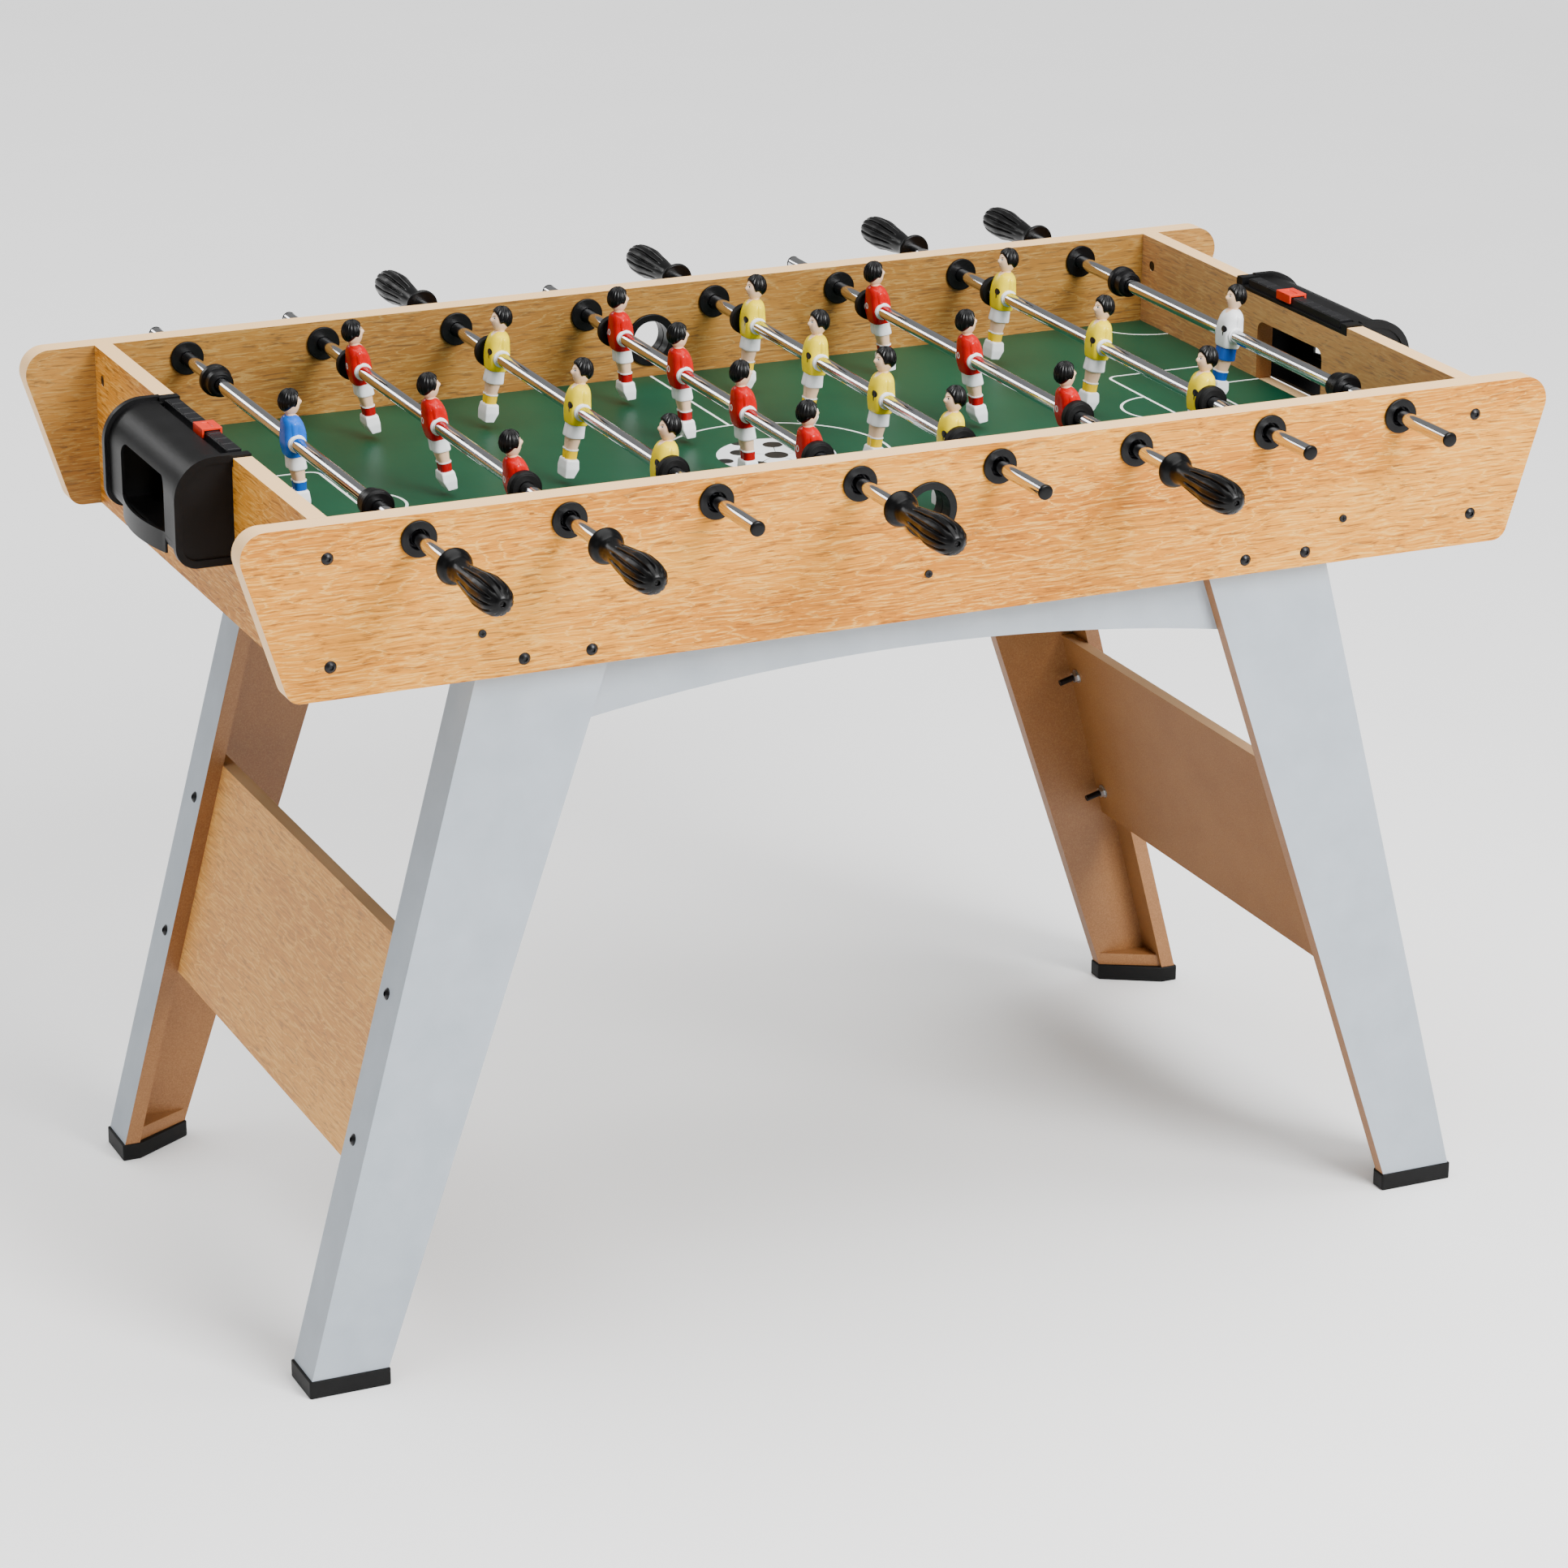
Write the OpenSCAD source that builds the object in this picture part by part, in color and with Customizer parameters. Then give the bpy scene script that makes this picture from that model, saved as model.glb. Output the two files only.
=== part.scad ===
// Foosball table: a laminated cabinet on four splayed legs, with eight
// sliding and spinning rods that carry the men.
// Frame: X along the length, Y across (front is -Y), Z up from the floor.

/* [Cabinet] */
// Overall length over the tips of the side panels
panel_length = 1210; // [1130:2:1460]
// Height of the top edge above the floor
top_height = 777.5; // [645:0.5:940]
// Height of the side panels
panel_height = 147; // [135:1:180]
// Thickness of the side panels
panel_thick = 22; // [15:0.5:28]
// Clear width between the side panels
inner_width = 582; // [510:2:720]
// How far each slanted end leans in, per millimetre of height
end_slant = 0.31; // [0:0.01:0.4]
// Radius of the top corners of the side panels
top_corner_r = 22; // [8:1:30]
// Radius of the bottom corners of the side panels
bottom_corner_r = 14; // [4:1:20]
// Distance between the outer faces of the end walls
wall_span = 1081; // [1000:1:1250]
// Thickness of the end walls
wall_thick = 16.5; // [12:0.5:22]
// Depth of the playfield below the top edge
field_depth = 87; // [80:1:110]
// Thickness of the playfield board
field_thick = 3; // [3:0.5:6]

/* [Rods and men] */
// Spacing of the rods
rod_pitch = 130; // [126:1:150]
// Depth of the rod axes below the top edge
rod_drop = 20.5; // [18:0.5:30]
// Outside diameter of the rods
rod_dia = 12.7; // [10:0.1:16]
// Wall of the rod tube
rod_wall = 1.2; // [0.8:0.1:2]
// Distance from the middle of a rod to its bare end
rod_reach = 386.5; // [380:0.5:520]
// Distance from the middle of a rod to the grip
grip_start = 388.5; // [380:0.5:520]
// Spacing of the men where a rod has three
three_pitch = 195; // [150:1:230]
// Spacing of the men where a rod has four
four_pitch = 140; // [110:1:150]
// Length of a man's hub along the rod
hub_length = 27; // [22:1:32]
// Distance from the rod axis to the soles
foot_reach = 60.3; // [50:0.1:62]
// Diameter of the rubber bumpers
bumper_dia = 29; // [22:1:34]
// Thickness of the bumpers on the outfield rods
bumper_thick = 9; // [6:1:14]
// Length of the goalkeeper rods' stop sleeves
sleeve_length = 22; // [16:1:30]
// Distance from the middle of a goalkeeper rod to a sleeve's outer face
sleeve_reach = 216; // [190:1:220]

/* [Bushes] */
// Diameter of the bush flanges
bush_flange_dia = 31; // [26:1:36]
// Thickness of the bush flanges
bush_flange = 3; // [2:0.5:5]
// Diameter of the bush barrel through the panel
bush_barrel_dia = 20; // [18:0.5:24]
// Radial clearance of a rod in its bushes and bumpers
rod_clear = 0.06; // [0.03:0.01:0.1]

/* [Handles] */
// Length of a grip
grip_length = 108; // [90:1:130]
// Largest diameter of the grip
grip_dia = 28; // [24:0.5:32]
// Diameter of the grip's flange
grip_flange_dia = 31; // [28:0.5:36]

/* [Goals and scoring] */
// Width of the goal mouths and of the goal box windows
goal_width = 120; // [100:1:150]
// Height of the goal mouths above the playfield
goal_height = 55.5; // [40:0.5:60]
// Width of the goal boxes
box_width = 204; // [190:2:230]
// Distance that the goal boxes stand out from the end walls
box_depth = 52; // [44:1:60]
// Height of the goal boxes
box_height = 95; // [86:1:110]
// Wall of the goal boxes
box_wall = 2.5; // [2:0.1:3.5]
// Length of the scoring bars
bar_length = 170; // [150:2:180]
// Width of the scoring bars
bar_width = 13; // [10:0.5:15]
// Length of a scoring slider along its bar
slider_length = 25; // [18:1:32]
// Diameter of the ball entry flanges
entry_dia = 50; // [44:1:56]
// Diameter of the hole through a ball entry
entry_hole = 36; // [34:1:40]

/* [Legs] */
// How far the outer edge of a leg leans out, per millimetre of drop
leg_lean = 0.262; // [0.1:0.002:0.35]
// Half the span over the legs, at the bottom of the cabinet
leg_top_reach = 398.5; // [360:0.5:520]
// Width of a leg's broad board, at the bottom of the cabinet
leg_top_width = 118; // [100:1:140]
// Width of a leg's broad board, at the floor
leg_foot_width = 68; // [50:1:90]
// Width of a leg's narrow board
leg_side_width = 47.5; // [40:0.5:70]
// Thickness of the leg boards
leg_board = 14; // [10:0.5:18]
// Height of the rubber feet
foot_height = 16; // [10:1:25]
// Height that the legs reach up behind the panels
leg_overlap = 39; // [32:1:42]
// Thickness of the arched aprons and the stretchers
rail_thick = 12; // [9:0.5:15]
// Height of the stretchers' top edge
stretcher_top = 379; // [300:1:450]
// Height of the stretchers' bottom edge
stretcher_bottom = 183; // [120:1:260]
// Depth of the apron below the cabinet, at the middle of its arch
arch_drop = 36; // [20:0.5:80]
// Rise of the apron arch over its chord
arch_rise = 24; // [10:1:40]

/* [Fasteners] */
// Diameter of the bolts' heads
bolt_head_dia = 10.6; // [10:0.1:12]
// Diameter of the bolts
bolt_dia = 6; // [5:0.5:6]
// Diameter of the barrel nuts
barrel_dia = 10; // [8:0.5:10]

/* [Hidden] */

$fn = 48;
eps = 0.01;
fit = 0.05;              // radial gap round a bolt, a man or a grip
slide_gap = 0.3;         // gap between a slider and its bar, and beside a bumper

// Cabinet levels and planes
panel_bottom = top_height - panel_height;
inner_y = inner_width / 2;
outer_y = inner_y + panel_thick;
wall_outer = wall_span / 2;
wall_inner = wall_outer - wall_thick;
field_top = top_height - field_depth;
rod_z = top_height - rod_drop;
leg_top = panel_bottom + leg_overlap;

hub_r = rod_dia / 2 + 2.65;  // also the neck of a grip
cap_r = rod_dia / 2 + 0.3;   // plug caps, and what the bushes are dished for

// Rods, from left to right: the side of the grip, the men, the rest offset and the rest spin
rod_count = 8;
rod_x = [for (i = [0:rod_count - 1]) (i - (rod_count - 1) / 2) * rod_pitch];
grip_side = [-1, -1, 1, -1, 1, -1, 1, 1];
men_count = [1, 3, 3, 4, 4, 3, 3, 1];
rest_offset = [-4, -1.5, -9.5, -2.5, -10.5, 7.5, 4, -8.5];
rest_spin = [3, 8, 7.5, 3, 5, 6.5, 7.5, 9];
shirt = ["dodgerblue", "red", "gold", "red", "gold", "red", "gold", "white"];

function men_pitch(i) = men_count[i] == 4 ? four_pitch : three_pitch;
function men_places(i) = [for (k = [0:men_count[i] - 1]) (k - (men_count[i] - 1) / 2) * men_pitch(i)];
function outer_man(i) = (men_count[i] - 1) / 2 * men_pitch(i) + hub_length / 2;

// Goal boxes and scoring
notch_half = box_width / 2 + 1;
notch_depth = 8;
box_top = top_height + 3;
box_top_r = 36;
box_low_r = 19;
rim = 4;                 // how far the goal box's end rims stand proud
rim_width = 7;
box_plate = 3;           // flange of the goal box, in the wall's notch
bar_base = top_height - notch_depth + box_plate;
bar_height = 7;
tile_height = 0.8;
tile_count = 10;
bar_x = wall_outer - bar_width / 2 - 0.5;
slider_wall = 2.2;
slider_rest = [-14, 16];
window_low = field_top + 13;
window_top = field_top + 64;
scoop_bulge = 8;
scoop_low = field_top - 1.5;
entry_z = top_height - 51.5;

// Legs
lean_angle = atan(leg_lean);
leg_taper = (leg_top_width - leg_foot_width) / panel_bottom;
broad_y = inner_y - leg_board;
side_y = inner_y - leg_side_width;
arch_height = panel_bottom - arch_drop;
arch_half = 300;
apron_top = leg_top - 4;
arch_r = (arch_half * arch_half + arch_rise * arch_rise) / (2 * arch_rise);
apron_half = leg_reach(apron_top) - leg_board / cos(lean_angle) - 2;
function leg_reach(z) = leg_top_reach + leg_lean * (panel_bottom - z);
function leg_inside(z) = leg_reach(z) - leg_top_width + leg_taper * (panel_bottom - z);

// Fastener places
corner_bolt_z = [panel_bottom + 28, top_height - 28];
leg_bolt_z = panel_bottom + 13;
leg_bolt_x = [leg_top_reach - 33, leg_top_reach - 92.5];
corner_bolt_x = wall_outer - wall_thick / 2;
head_height = 2.8;
barrel_inset = 20;
stretcher_bolt_z = [stretcher_bottom + 35.6, stretcher_top - 33];
stretcher_bolt_y = side_y + 17.5;
stretcher_bolt_length = 46;
nut_height = 5;
screw_x = [-leg_top_reach - 3.5, 0, leg_top_reach + 3.5];
screw_z = field_top - 20.5;
screw_head = 6.8;
batten_thick = 16;
batten_height = 35;

// Runs a child once for each of the four corners, with x and y mirrored
module at_corners() {
  for (sx = [0, 1], sy = [0, 1]) mirror([sx, 0, 0]) mirror([0, sy, 0]) children();
}

// Turns a flat outline drawn in X and Z into a plate from y0 to y1
module plate(y0, y1) {
  translate([0, y1, 0]) rotate([90, 0, 0]) linear_extrude(y1 - y0) children();
}

// A cylinder along Y from y0 to y1
module y_cylinder(r, y0, y1) {
  translate([0, y1, 0]) rotate([90, 0, 0]) cylinder(r = r, h = y1 - y0);
}

// ---- Cabinet ----

// Half of a side panel's outline: a trapezium with its outer corners rounded
module panel_outline() {
  lean = sqrt(1 + end_slant * end_slant);
  tip = panel_length / 2;
  line_top = tip + end_slant * top_corner_r + top_corner_r * (lean - 1);
  function slant_x(z) = line_top - end_slant * (panel_height - z);
  top_c = [tip - top_corner_r, panel_height - top_corner_r];
  low_c = [slant_x(bottom_corner_r) - bottom_corner_r * lean, bottom_corner_r];
  out = [1 / lean, -end_slant / lean];
  translate([0, panel_bottom]) {
    polygon([
      [-low_c[0], 0], [low_c[0], 0], low_c + bottom_corner_r * out, top_c + top_corner_r * out,
      [top_c[0], panel_height], [-top_c[0], panel_height],
      [-top_c[0] - top_corner_r * out[0], top_c[1] + top_corner_r * out[1]],
      [-low_c[0] - bottom_corner_r * out[0], low_c[1] + bottom_corner_r * out[1]]
    ]);
    for (s = [-1, 1]) {
      translate([s * top_c[0], top_c[1]]) circle(r = top_corner_r, $fn = 96);
      translate([s * low_c[0], low_c[1]]) circle(r = bottom_corner_r, $fn = 96);
    }
  }
}

// The front panel; the rear one is its mirror image
module side_panel() {
  difference() {
    plate(-outer_y, -inner_y) panel_outline();
    for (x = rod_x)
      translate([x, 0, rod_z]) y_cylinder(bush_barrel_dia / 2 + fit, -outer_y - 1, -inner_y + 1);
    translate([0, 0, entry_z]) y_cylinder(entry_hole / 2 + 3 + fit, -outer_y - 1, -inner_y + 1);
    for (s = [-1, 1], z = corner_bolt_z)
      translate([s * corner_bolt_x, 0, z]) y_cylinder(bolt_dia / 2 + fit, -outer_y - 1, -inner_y + 1);
    for (s = [-1, 1], x = leg_bolt_x)
      translate([s * x, 0, leg_bolt_z]) y_cylinder(bolt_dia / 2 + fit, -outer_y - 1, -inner_y + 1);
    for (x = screw_x)
      translate([x, 0, screw_z]) y_cylinder(2 + fit, -outer_y - 1, -inner_y + 1);
  }
}

module front_panel() {
  color("burlywood") side_panel();
}

module rear_panel() {
  color("burlywood") mirror([0, 1, 0]) side_panel();
}

// Goal mouth: a rectangle with rounded top corners, drawn across and up
module mouth_outline(width, low, high, r) {
  translate([-width / 2, low]) square([width, high - low - r]);
  translate([-width / 2 + r, low]) square([width - 2 * r, high - low]);
  for (s = [-1, 1]) translate([s * (width / 2 - r), high - r]) circle(r = r);
}

// The right end wall; the left one is its mirror image
module end_wall() {
  difference() {
    translate([wall_inner, -inner_y, panel_bottom]) cube([wall_thick, inner_width, panel_height]);
    translate([wall_inner - 1, -notch_half, top_height - notch_depth])
      cube([wall_thick + 2, 2 * notch_half, notch_depth + 1]);
    translate([wall_inner - 1, 0, 0]) rotate([90, 0, 90])
      linear_extrude(wall_thick + 2) mouth_outline(goal_width, field_top - 2, field_top + goal_height, 10);
    for (s = [-1, 1], z = corner_bolt_z) {
      translate([wall_inner - 1, s * (inner_y - barrel_inset), z]) rotate([0, 90, 0])
        cylinder(r = barrel_dia / 2 + fit, h = wall_thick + 2);
      translate([corner_bolt_x, 0, z]) mirror([0, s > 0 ? 1 : 0, 0])
        y_cylinder(bolt_dia / 2 + fit, -inner_y - 1, -inner_y + barrel_inset + 12);
    }
  }
}

module right_end_wall() {
  color("peru") end_wall();
}

module left_end_wall() {
  color("peru") mirror([1, 0, 0]) end_wall();
}

module playfield() {
  color("seagreen") translate([-wall_inner, -inner_y, field_top - field_thick])
    cube([2 * wall_inner, inner_width, field_thick]);
}

module field_battens() {
  color("tan") difference() {
    for (x = screw_x)
      translate([x - batten_thick / 2, -inner_y, field_top - field_thick - batten_height])
        cube([batten_thick, inner_width, batten_height]);
    for (x = screw_x, s = [0, 1])
      translate([x, 0, screw_z]) mirror([0, s, 0]) y_cylinder(2 + fit, -inner_y - 1, -inner_y + 24);
    // notches for the aprons
    for (x = screw_x, s = [0, 1]) mirror([0, s, 0])
      translate([x - batten_thick, -inner_y - 1, panel_bottom])
        cube([2 * batten_thick, leg_board + rail_thick + 2, apron_top - panel_bottom]);
  }
}

// ---- Legs, aprons and stretchers ----

// The front apron: a board with an arched lower edge, behind the legs' broad boards
module apron() {
  low = arch_height - arch_r + sqrt(arch_r * arch_r - apron_half * apron_half);
  difference() {
    translate([-apron_half, -broad_y, low]) cube([2 * apron_half, rail_thick, apron_top - low]);
    translate([0, 0, arch_height - arch_r])
      rotate([90, 0, 0]) cylinder(r = arch_r, h = inner_width, $fn = 720);
    for (s = [-1, 1], x = leg_bolt_x)
      translate([s * x, 0, leg_bolt_z]) y_cylinder(bolt_dia / 2 + fit, -broad_y - 1, -broad_y + rail_thick + 1);
  }
}

module front_apron() {
  color("silver") apron();
}

module rear_apron() {
  color("silver") mirror([0, 1, 0]) apron();
}

// Places a child on the slanted stretcher bolt axes of the right front leg, pointing inwards
module on_stretcher_bolts() {
  for (z = stretcher_bolt_z)
    translate([leg_reach(z), -stretcher_bolt_y, z]) rotate([0, -90 - lean_angle, 0]) children();
}

// The front right leg: broad board, narrow board and corner block, glued together
module leg() {
  side_x = leg_board / cos(lean_angle);
  difference() {
    union() {
      plate(-inner_y, -broad_y) polygon([
        [leg_inside(foot_height), foot_height], [leg_reach(foot_height), foot_height],
        [leg_reach(leg_top), leg_top], [leg_inside(leg_top), leg_top]
      ]);
      plate(-broad_y - eps, -side_y) polygon([
        [leg_reach(foot_height) - side_x, foot_height], [leg_reach(foot_height), foot_height],
        [leg_reach(leg_top), leg_top], [leg_reach(leg_top) - side_x, leg_top]
      ]);
      corner_block();
    }
    for (x = leg_bolt_x)
      translate([x, 0, leg_bolt_z]) y_cylinder(bolt_dia / 2 + fit, -inner_y - 1, -broad_y + 1);
    on_stretcher_bolts() translate([0, 0, -2]) cylinder(r = bolt_dia / 2 + fit, h = leg_board + 6);
  }
}

// Triangular block between the two boards, just above the foot
module corner_block() {
  high = 12;
  z = foot_height;
  side_x = leg_board / cos(lean_angle);
  intersection() {
    translate([0, 0, z]) linear_extrude(high) polygon([
      [leg_inside(z), -broad_y - eps], [leg_reach(z) - side_x / 2, -broad_y - eps],
      [leg_reach(z) - side_x / 2, -side_y]
    ]);
    plate(-inner_y, -side_y) polygon([
      [leg_inside(z), z], [leg_reach(z) - side_x / 2, z],
      [leg_reach(z + high) - side_x / 2, z + high], [leg_inside(z + high), z + high]
    ]);
  }
}

module front_right_leg() {
  color("lightgray") leg();
}

module front_left_leg() {
  color("lightgray") mirror([1, 0, 0]) leg();
}

module rear_right_leg() {
  color("lightgray") mirror([0, 1, 0]) leg();
}

module rear_left_leg() {
  color("lightgray") mirror([1, 0, 0]) mirror([0, 1, 0]) leg();
}

// Rubber caps under the legs, each a little larger than the boards it carries
module rubber_feet() {
  proud = 1.5;
  outside = leg_reach(foot_height) + proud + 1;
  inside = leg_inside(foot_height) - proud;
  color("black") at_corners() linear_extrude(foot_height) polygon([
    [outside, -inner_y - proud], [outside, -side_y + proud], [outside - leg_board - 3, -side_y + proud],
    [inside, -broad_y + 2], [inside, -inner_y - proud]
  ]);
}

// The right stretcher, inside the legs' narrow boards and in their slant
module stretcher() {
  off = leg_board / cos(lean_angle);
  thick = rail_thick / cos(lean_angle);
  difference() {
    plate(-broad_y + eps, broad_y - eps) polygon([
      [leg_reach(stretcher_bottom) - off, stretcher_bottom], [leg_reach(stretcher_top) - off, stretcher_top],
      [leg_reach(stretcher_top) - off - thick, stretcher_top],
      [leg_reach(stretcher_bottom) - off - thick, stretcher_bottom]
    ]);
    for (s = [0, 1]) mirror([0, s, 0]) on_stretcher_bolts()
      cylinder(r = bolt_dia / 2 + fit, h = leg_board + rail_thick + 6);
  }
}

module right_stretcher() {
  color("burlywood") stretcher();
}

module left_stretcher() {
  color("burlywood") mirror([1, 0, 0]) stretcher();
}

// ---- Goals and scoring ----

// Side outline of the right goal box, inset by a wall, from the end wall outwards
module box_outline(inset) {
  x0 = wall_outer;
  x1 = wall_outer + box_depth - inset;
  z0 = box_top - box_height + inset;
  z1 = box_top - inset;
  top_r = box_top_r - inset;
  low_r = box_low_r - inset;
  intersection() {
    union() {
      polygon([
        [x0, z0], [x1 - low_r, z0], [x1 - low_r, z0 + low_r], [x1, z0 + low_r], [x1, z1 - top_r],
        [x1 - top_r, z1 - top_r], [x1 - top_r, z1], [x0, z1]
      ]);
      translate([x1 - low_r, z0 + low_r]) circle(r = low_r, $fn = 64);
      translate([x1 - top_r, z1 - top_r]) circle(r = top_r, $fn = 96);
    }
    translate([x0, z0]) square([x1 - x0, z1 - z0]);
  }
}

// A scoop that bulges below the window to stop the ball
module scoop() {
  r = (goal_width * goal_width / 4 + scoop_bulge * scoop_bulge) / (2 * scoop_bulge);
  face = wall_outer + box_depth - rim;
  intersection() {
    translate([face + scoop_bulge - r, 0, scoop_low]) difference() {
      cylinder(r = r, h = window_low + 4 - scoop_low, $fn = 360);
      translate([0, 0, box_wall]) cylinder(r = r - box_wall, h = 60, $fn = 360);
    }
    translate([face - 2, -goal_width / 2, scoop_low - 1]) cube([scoop_bulge + 5, goal_width, 60]);
  }
}

// The right goal box: an open-backed shell with rims, a window and a flange in the wall's notch
module goal_box() {
  half = box_width / 2;
  skin = rim + box_wall;
  difference() {
    union() {
      plate(-half + rim_width - eps, half - rim_width + eps) box_outline(rim);
      for (s = [-1, 1]) {
        y = s * (half - rim_width / 2);
        plate(y - rim_width / 2, y + rim_width / 2) box_outline(0);
      }
      translate([wall_inner, -half, top_height - notch_depth]) cube([wall_thick + 2, box_width, box_plate]);
      for (s = [-1, 1])
        translate([wall_inner, s * (half - 5) - 5, top_height - notch_depth])
          cube([wall_thick + 2, 10, notch_depth + 2]);
    }
    // the hollow, open towards the goal mouth
    plate(-half + box_wall, half - box_wall) intersection() {
      box_outline(skin);
      translate([wall_outer - 1, box_top - box_height]) square([box_depth, top_height - notch_depth
        - box_top + box_height]);
    }
    translate([wall_outer - eps, -half + box_wall, box_top - box_height + skin])
      cube([2, box_width - 2 * box_wall, top_height - notch_depth - box_top + box_height - skin]);
    // the rims stand proud of the end faces
    for (s = [-1, 1]) plate(s * half - 2, s * half + 2) box_outline(skin);
    // the window in the outer face
    translate([wall_outer + box_depth - 30, 0, 0]) rotate([90, 0, 90])
      linear_extrude(40) mouth_outline(goal_width, window_low, window_top, 12);
    // the channel for the scoring bar, along the top
    translate([wall_outer - eps, -bar_length / 2 - 2, bar_base]) cube([4, bar_length + 4, 20]);
  }
  scoop();
}

module right_goal_box() {
  color("dimgray") goal_box();
}

module left_goal_box() {
  color("dimgray") mirror([1, 0, 0]) goal_box();
}

// A scoring bar with one raised tile for each point
module scoring_bar() {
  tile = bar_length / tile_count;
  translate([bar_x - bar_width / 2, -bar_length / 2, bar_base]) cube([bar_width, bar_length, bar_height]);
  for (i = [0:tile_count - 1])
    translate([bar_x - bar_width / 2 + 1, -bar_length / 2 + i * tile + 1.2, bar_base + bar_height - eps])
      cube([bar_width - 2, tile - 2.4, tile_height + eps]);
}

module scoring_bars() {
  color("darkslategray") for (s = [0, 1]) mirror([s, 0, 0]) scoring_bar();
}

// A red saddle that rides on a scoring bar
module score_slider() {
  inside = bar_width + 2 * slide_gap;
  outside = inside + 2 * slider_wall;
  low = bar_base + 2;
  roof = bar_base + bar_height + tile_height + slide_gap;
  difference() {
    translate([bar_x - outside / 2, -slider_length / 2, low]) cube([outside, slider_length, roof + 2.2 - low]);
    translate([bar_x - inside / 2, -slider_length, low - 1]) cube([inside, 2 * slider_length, roof - low + 1]);
    translate([bar_x - 2.5, -slider_length / 2 + 4, roof + 1.4]) cube([5, slider_length - 8, 3]);
  }
}

module left_score_slider() {
  color("tomato") translate([0, slider_rest[0], 0]) mirror([1, 0, 0]) score_slider();
}

module right_score_slider() {
  color("tomato") translate([0, slider_rest[1], 0]) score_slider();
}

// Two half rings in each panel: one from outside, one from inside
module ball_entries() {
  flange = 3;
  tube = entry_hole / 2 + 3;
  middle = (inner_y + outer_y) / 2;
  color("black") for (s = [0, 1]) mirror([0, s, 0]) translate([0, 0, entry_z]) {
    difference() {
      union() {
        y_cylinder(entry_dia / 2, -outer_y - flange, -outer_y);
        y_cylinder(tube, -outer_y - eps, -middle - 0.2);
      }
      y_cylinder(entry_hole / 2, -outer_y - 10, -inner_y + 10);
    }
    difference() {
      union() {
        y_cylinder(entry_dia / 2, -inner_y, -inner_y + flange);
        y_cylinder(tube, -middle + 0.2, -inner_y + eps);
      }
      y_cylinder(entry_hole / 2, -outer_y - 10, -inner_y + 10);
    }
  }
}

// ---- Bushes ----

// Calls a child at every rod, on both sides of the table
module at_bushes() {
  for (x = rod_x, s = [0, 1]) mirror([0, s, 0]) translate([x, 0, rod_z]) children();
}

// Flanged bushes, pressed in from outside; the flange is dished for the rod's end cap
module rod_bushes() {
  color("black") at_bushes() difference() {
    union() {
      y_cylinder(bush_flange_dia / 2, -outer_y - bush_flange, -outer_y);
      y_cylinder(bush_barrel_dia / 2, -outer_y - eps, -inner_y);
    }
    y_cylinder(rod_dia / 2 + rod_clear, -outer_y - 10, -inner_y + 10);
    y_cylinder(cap_r + 1.85, -outer_y - bush_flange - 1, -outer_y - bush_flange + 6);
  }
}

// Flanged rings that close the bushes on the inside
module bush_nuts() {
  color("black") at_bushes() difference() {
    y_cylinder(bush_flange_dia / 2, -inner_y, -inner_y + bush_flange);
    y_cylinder(rod_dia / 2 + rod_clear, -inner_y - 1, -inner_y + bush_flange + 1);
  }
}

// ---- Fasteners ----

// A domed bolt that points towards +Z, with its head's seat at 0
module bolt(length) {
  dome_r = (pow(bolt_head_dia / 2, 2) + head_height * head_height) / (2 * head_height);
  difference() {
    union() {
      intersection() {
        translate([0, 0, dome_r - head_height]) sphere(r = dome_r, $fn = 64);
        translate([0, 0, -head_height]) cylinder(r = bolt_head_dia / 2, h = head_height);
      }
      translate([0, 0, -eps]) cylinder(r = bolt_dia / 2, h = length + eps);
    }
    translate([0, 0, -head_height - 1]) cylinder(r = 2.3, h = 2.8, $fn = 6);
  }
}

// Stands a bolt in the front panel's outer face at x and z, pointing inwards
module in_panel(x, z) {
  translate([x, -outer_y, z]) rotate([-90, 0, 0]) children();
}

module panel_bolts() {
  color("black") at_corners() {
    for (z = corner_bolt_z) in_panel(corner_bolt_x, z) bolt(panel_thick + barrel_inset);
    for (x = leg_bolt_x) in_panel(x, leg_bolt_z)
      bolt(panel_thick + leg_board + rail_thick + nut_height + 2);
  }
}

// Cross dowels in the end walls; each is drilled for its bolt
module barrel_nuts() {
  color("silver") at_corners() for (z = corner_bolt_z)
    translate([corner_bolt_x, -inner_y + barrel_inset, z]) difference() {
      translate([-wall_thick / 2 + 0.5, 0, 0]) rotate([0, 90, 0])
        cylinder(r = barrel_dia / 2, h = wall_thick - 1);
      y_cylinder(bolt_dia / 2 + fit, -barrel_dia, fit);
    }
}

module stretcher_bolts() {
  color("black") at_corners() on_stretcher_bolts() bolt(stretcher_bolt_length);
}

// A hex nut on its washer, both from 0 towards +Z
module nut() {
  difference() {
    union() {
      cylinder(r = 7, h = 1.2);
      translate([0, 0, 1.2 - eps]) cylinder(r = 5.6, h = nut_height - 1.2, $fn = 6);
    }
    translate([0, 0, -1]) cylinder(r = bolt_dia / 2 + fit, h = nut_height + 2);
  }
}

module hex_nuts() {
  color("gainsboro") at_corners() {
    on_stretcher_bolts() translate([0, 0, leg_board + rail_thick]) nut();
    for (x = leg_bolt_x) in_panel(x, leg_bolt_z)
      translate([0, 0, panel_thick + leg_board + rail_thick]) nut();
  }
}

// Screws through the panels into the ends of the battens
module field_screws() {
  color("black") for (x = screw_x, s = [0, 1]) mirror([0, s, 0]) in_panel(x, screw_z) {
    translate([0, 0, -1.6]) difference() {
      cylinder(r = screw_head / 2, h = 1.6);
      for (a = [0, 90]) rotate(a) translate([-2, -0.4, -1]) cube([4, 0.8, 2]);
    }
    translate([0, 0, -eps]) cylinder(r = 2, h = panel_thick + 22);
  }
}

// ---- Rods ----

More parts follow.
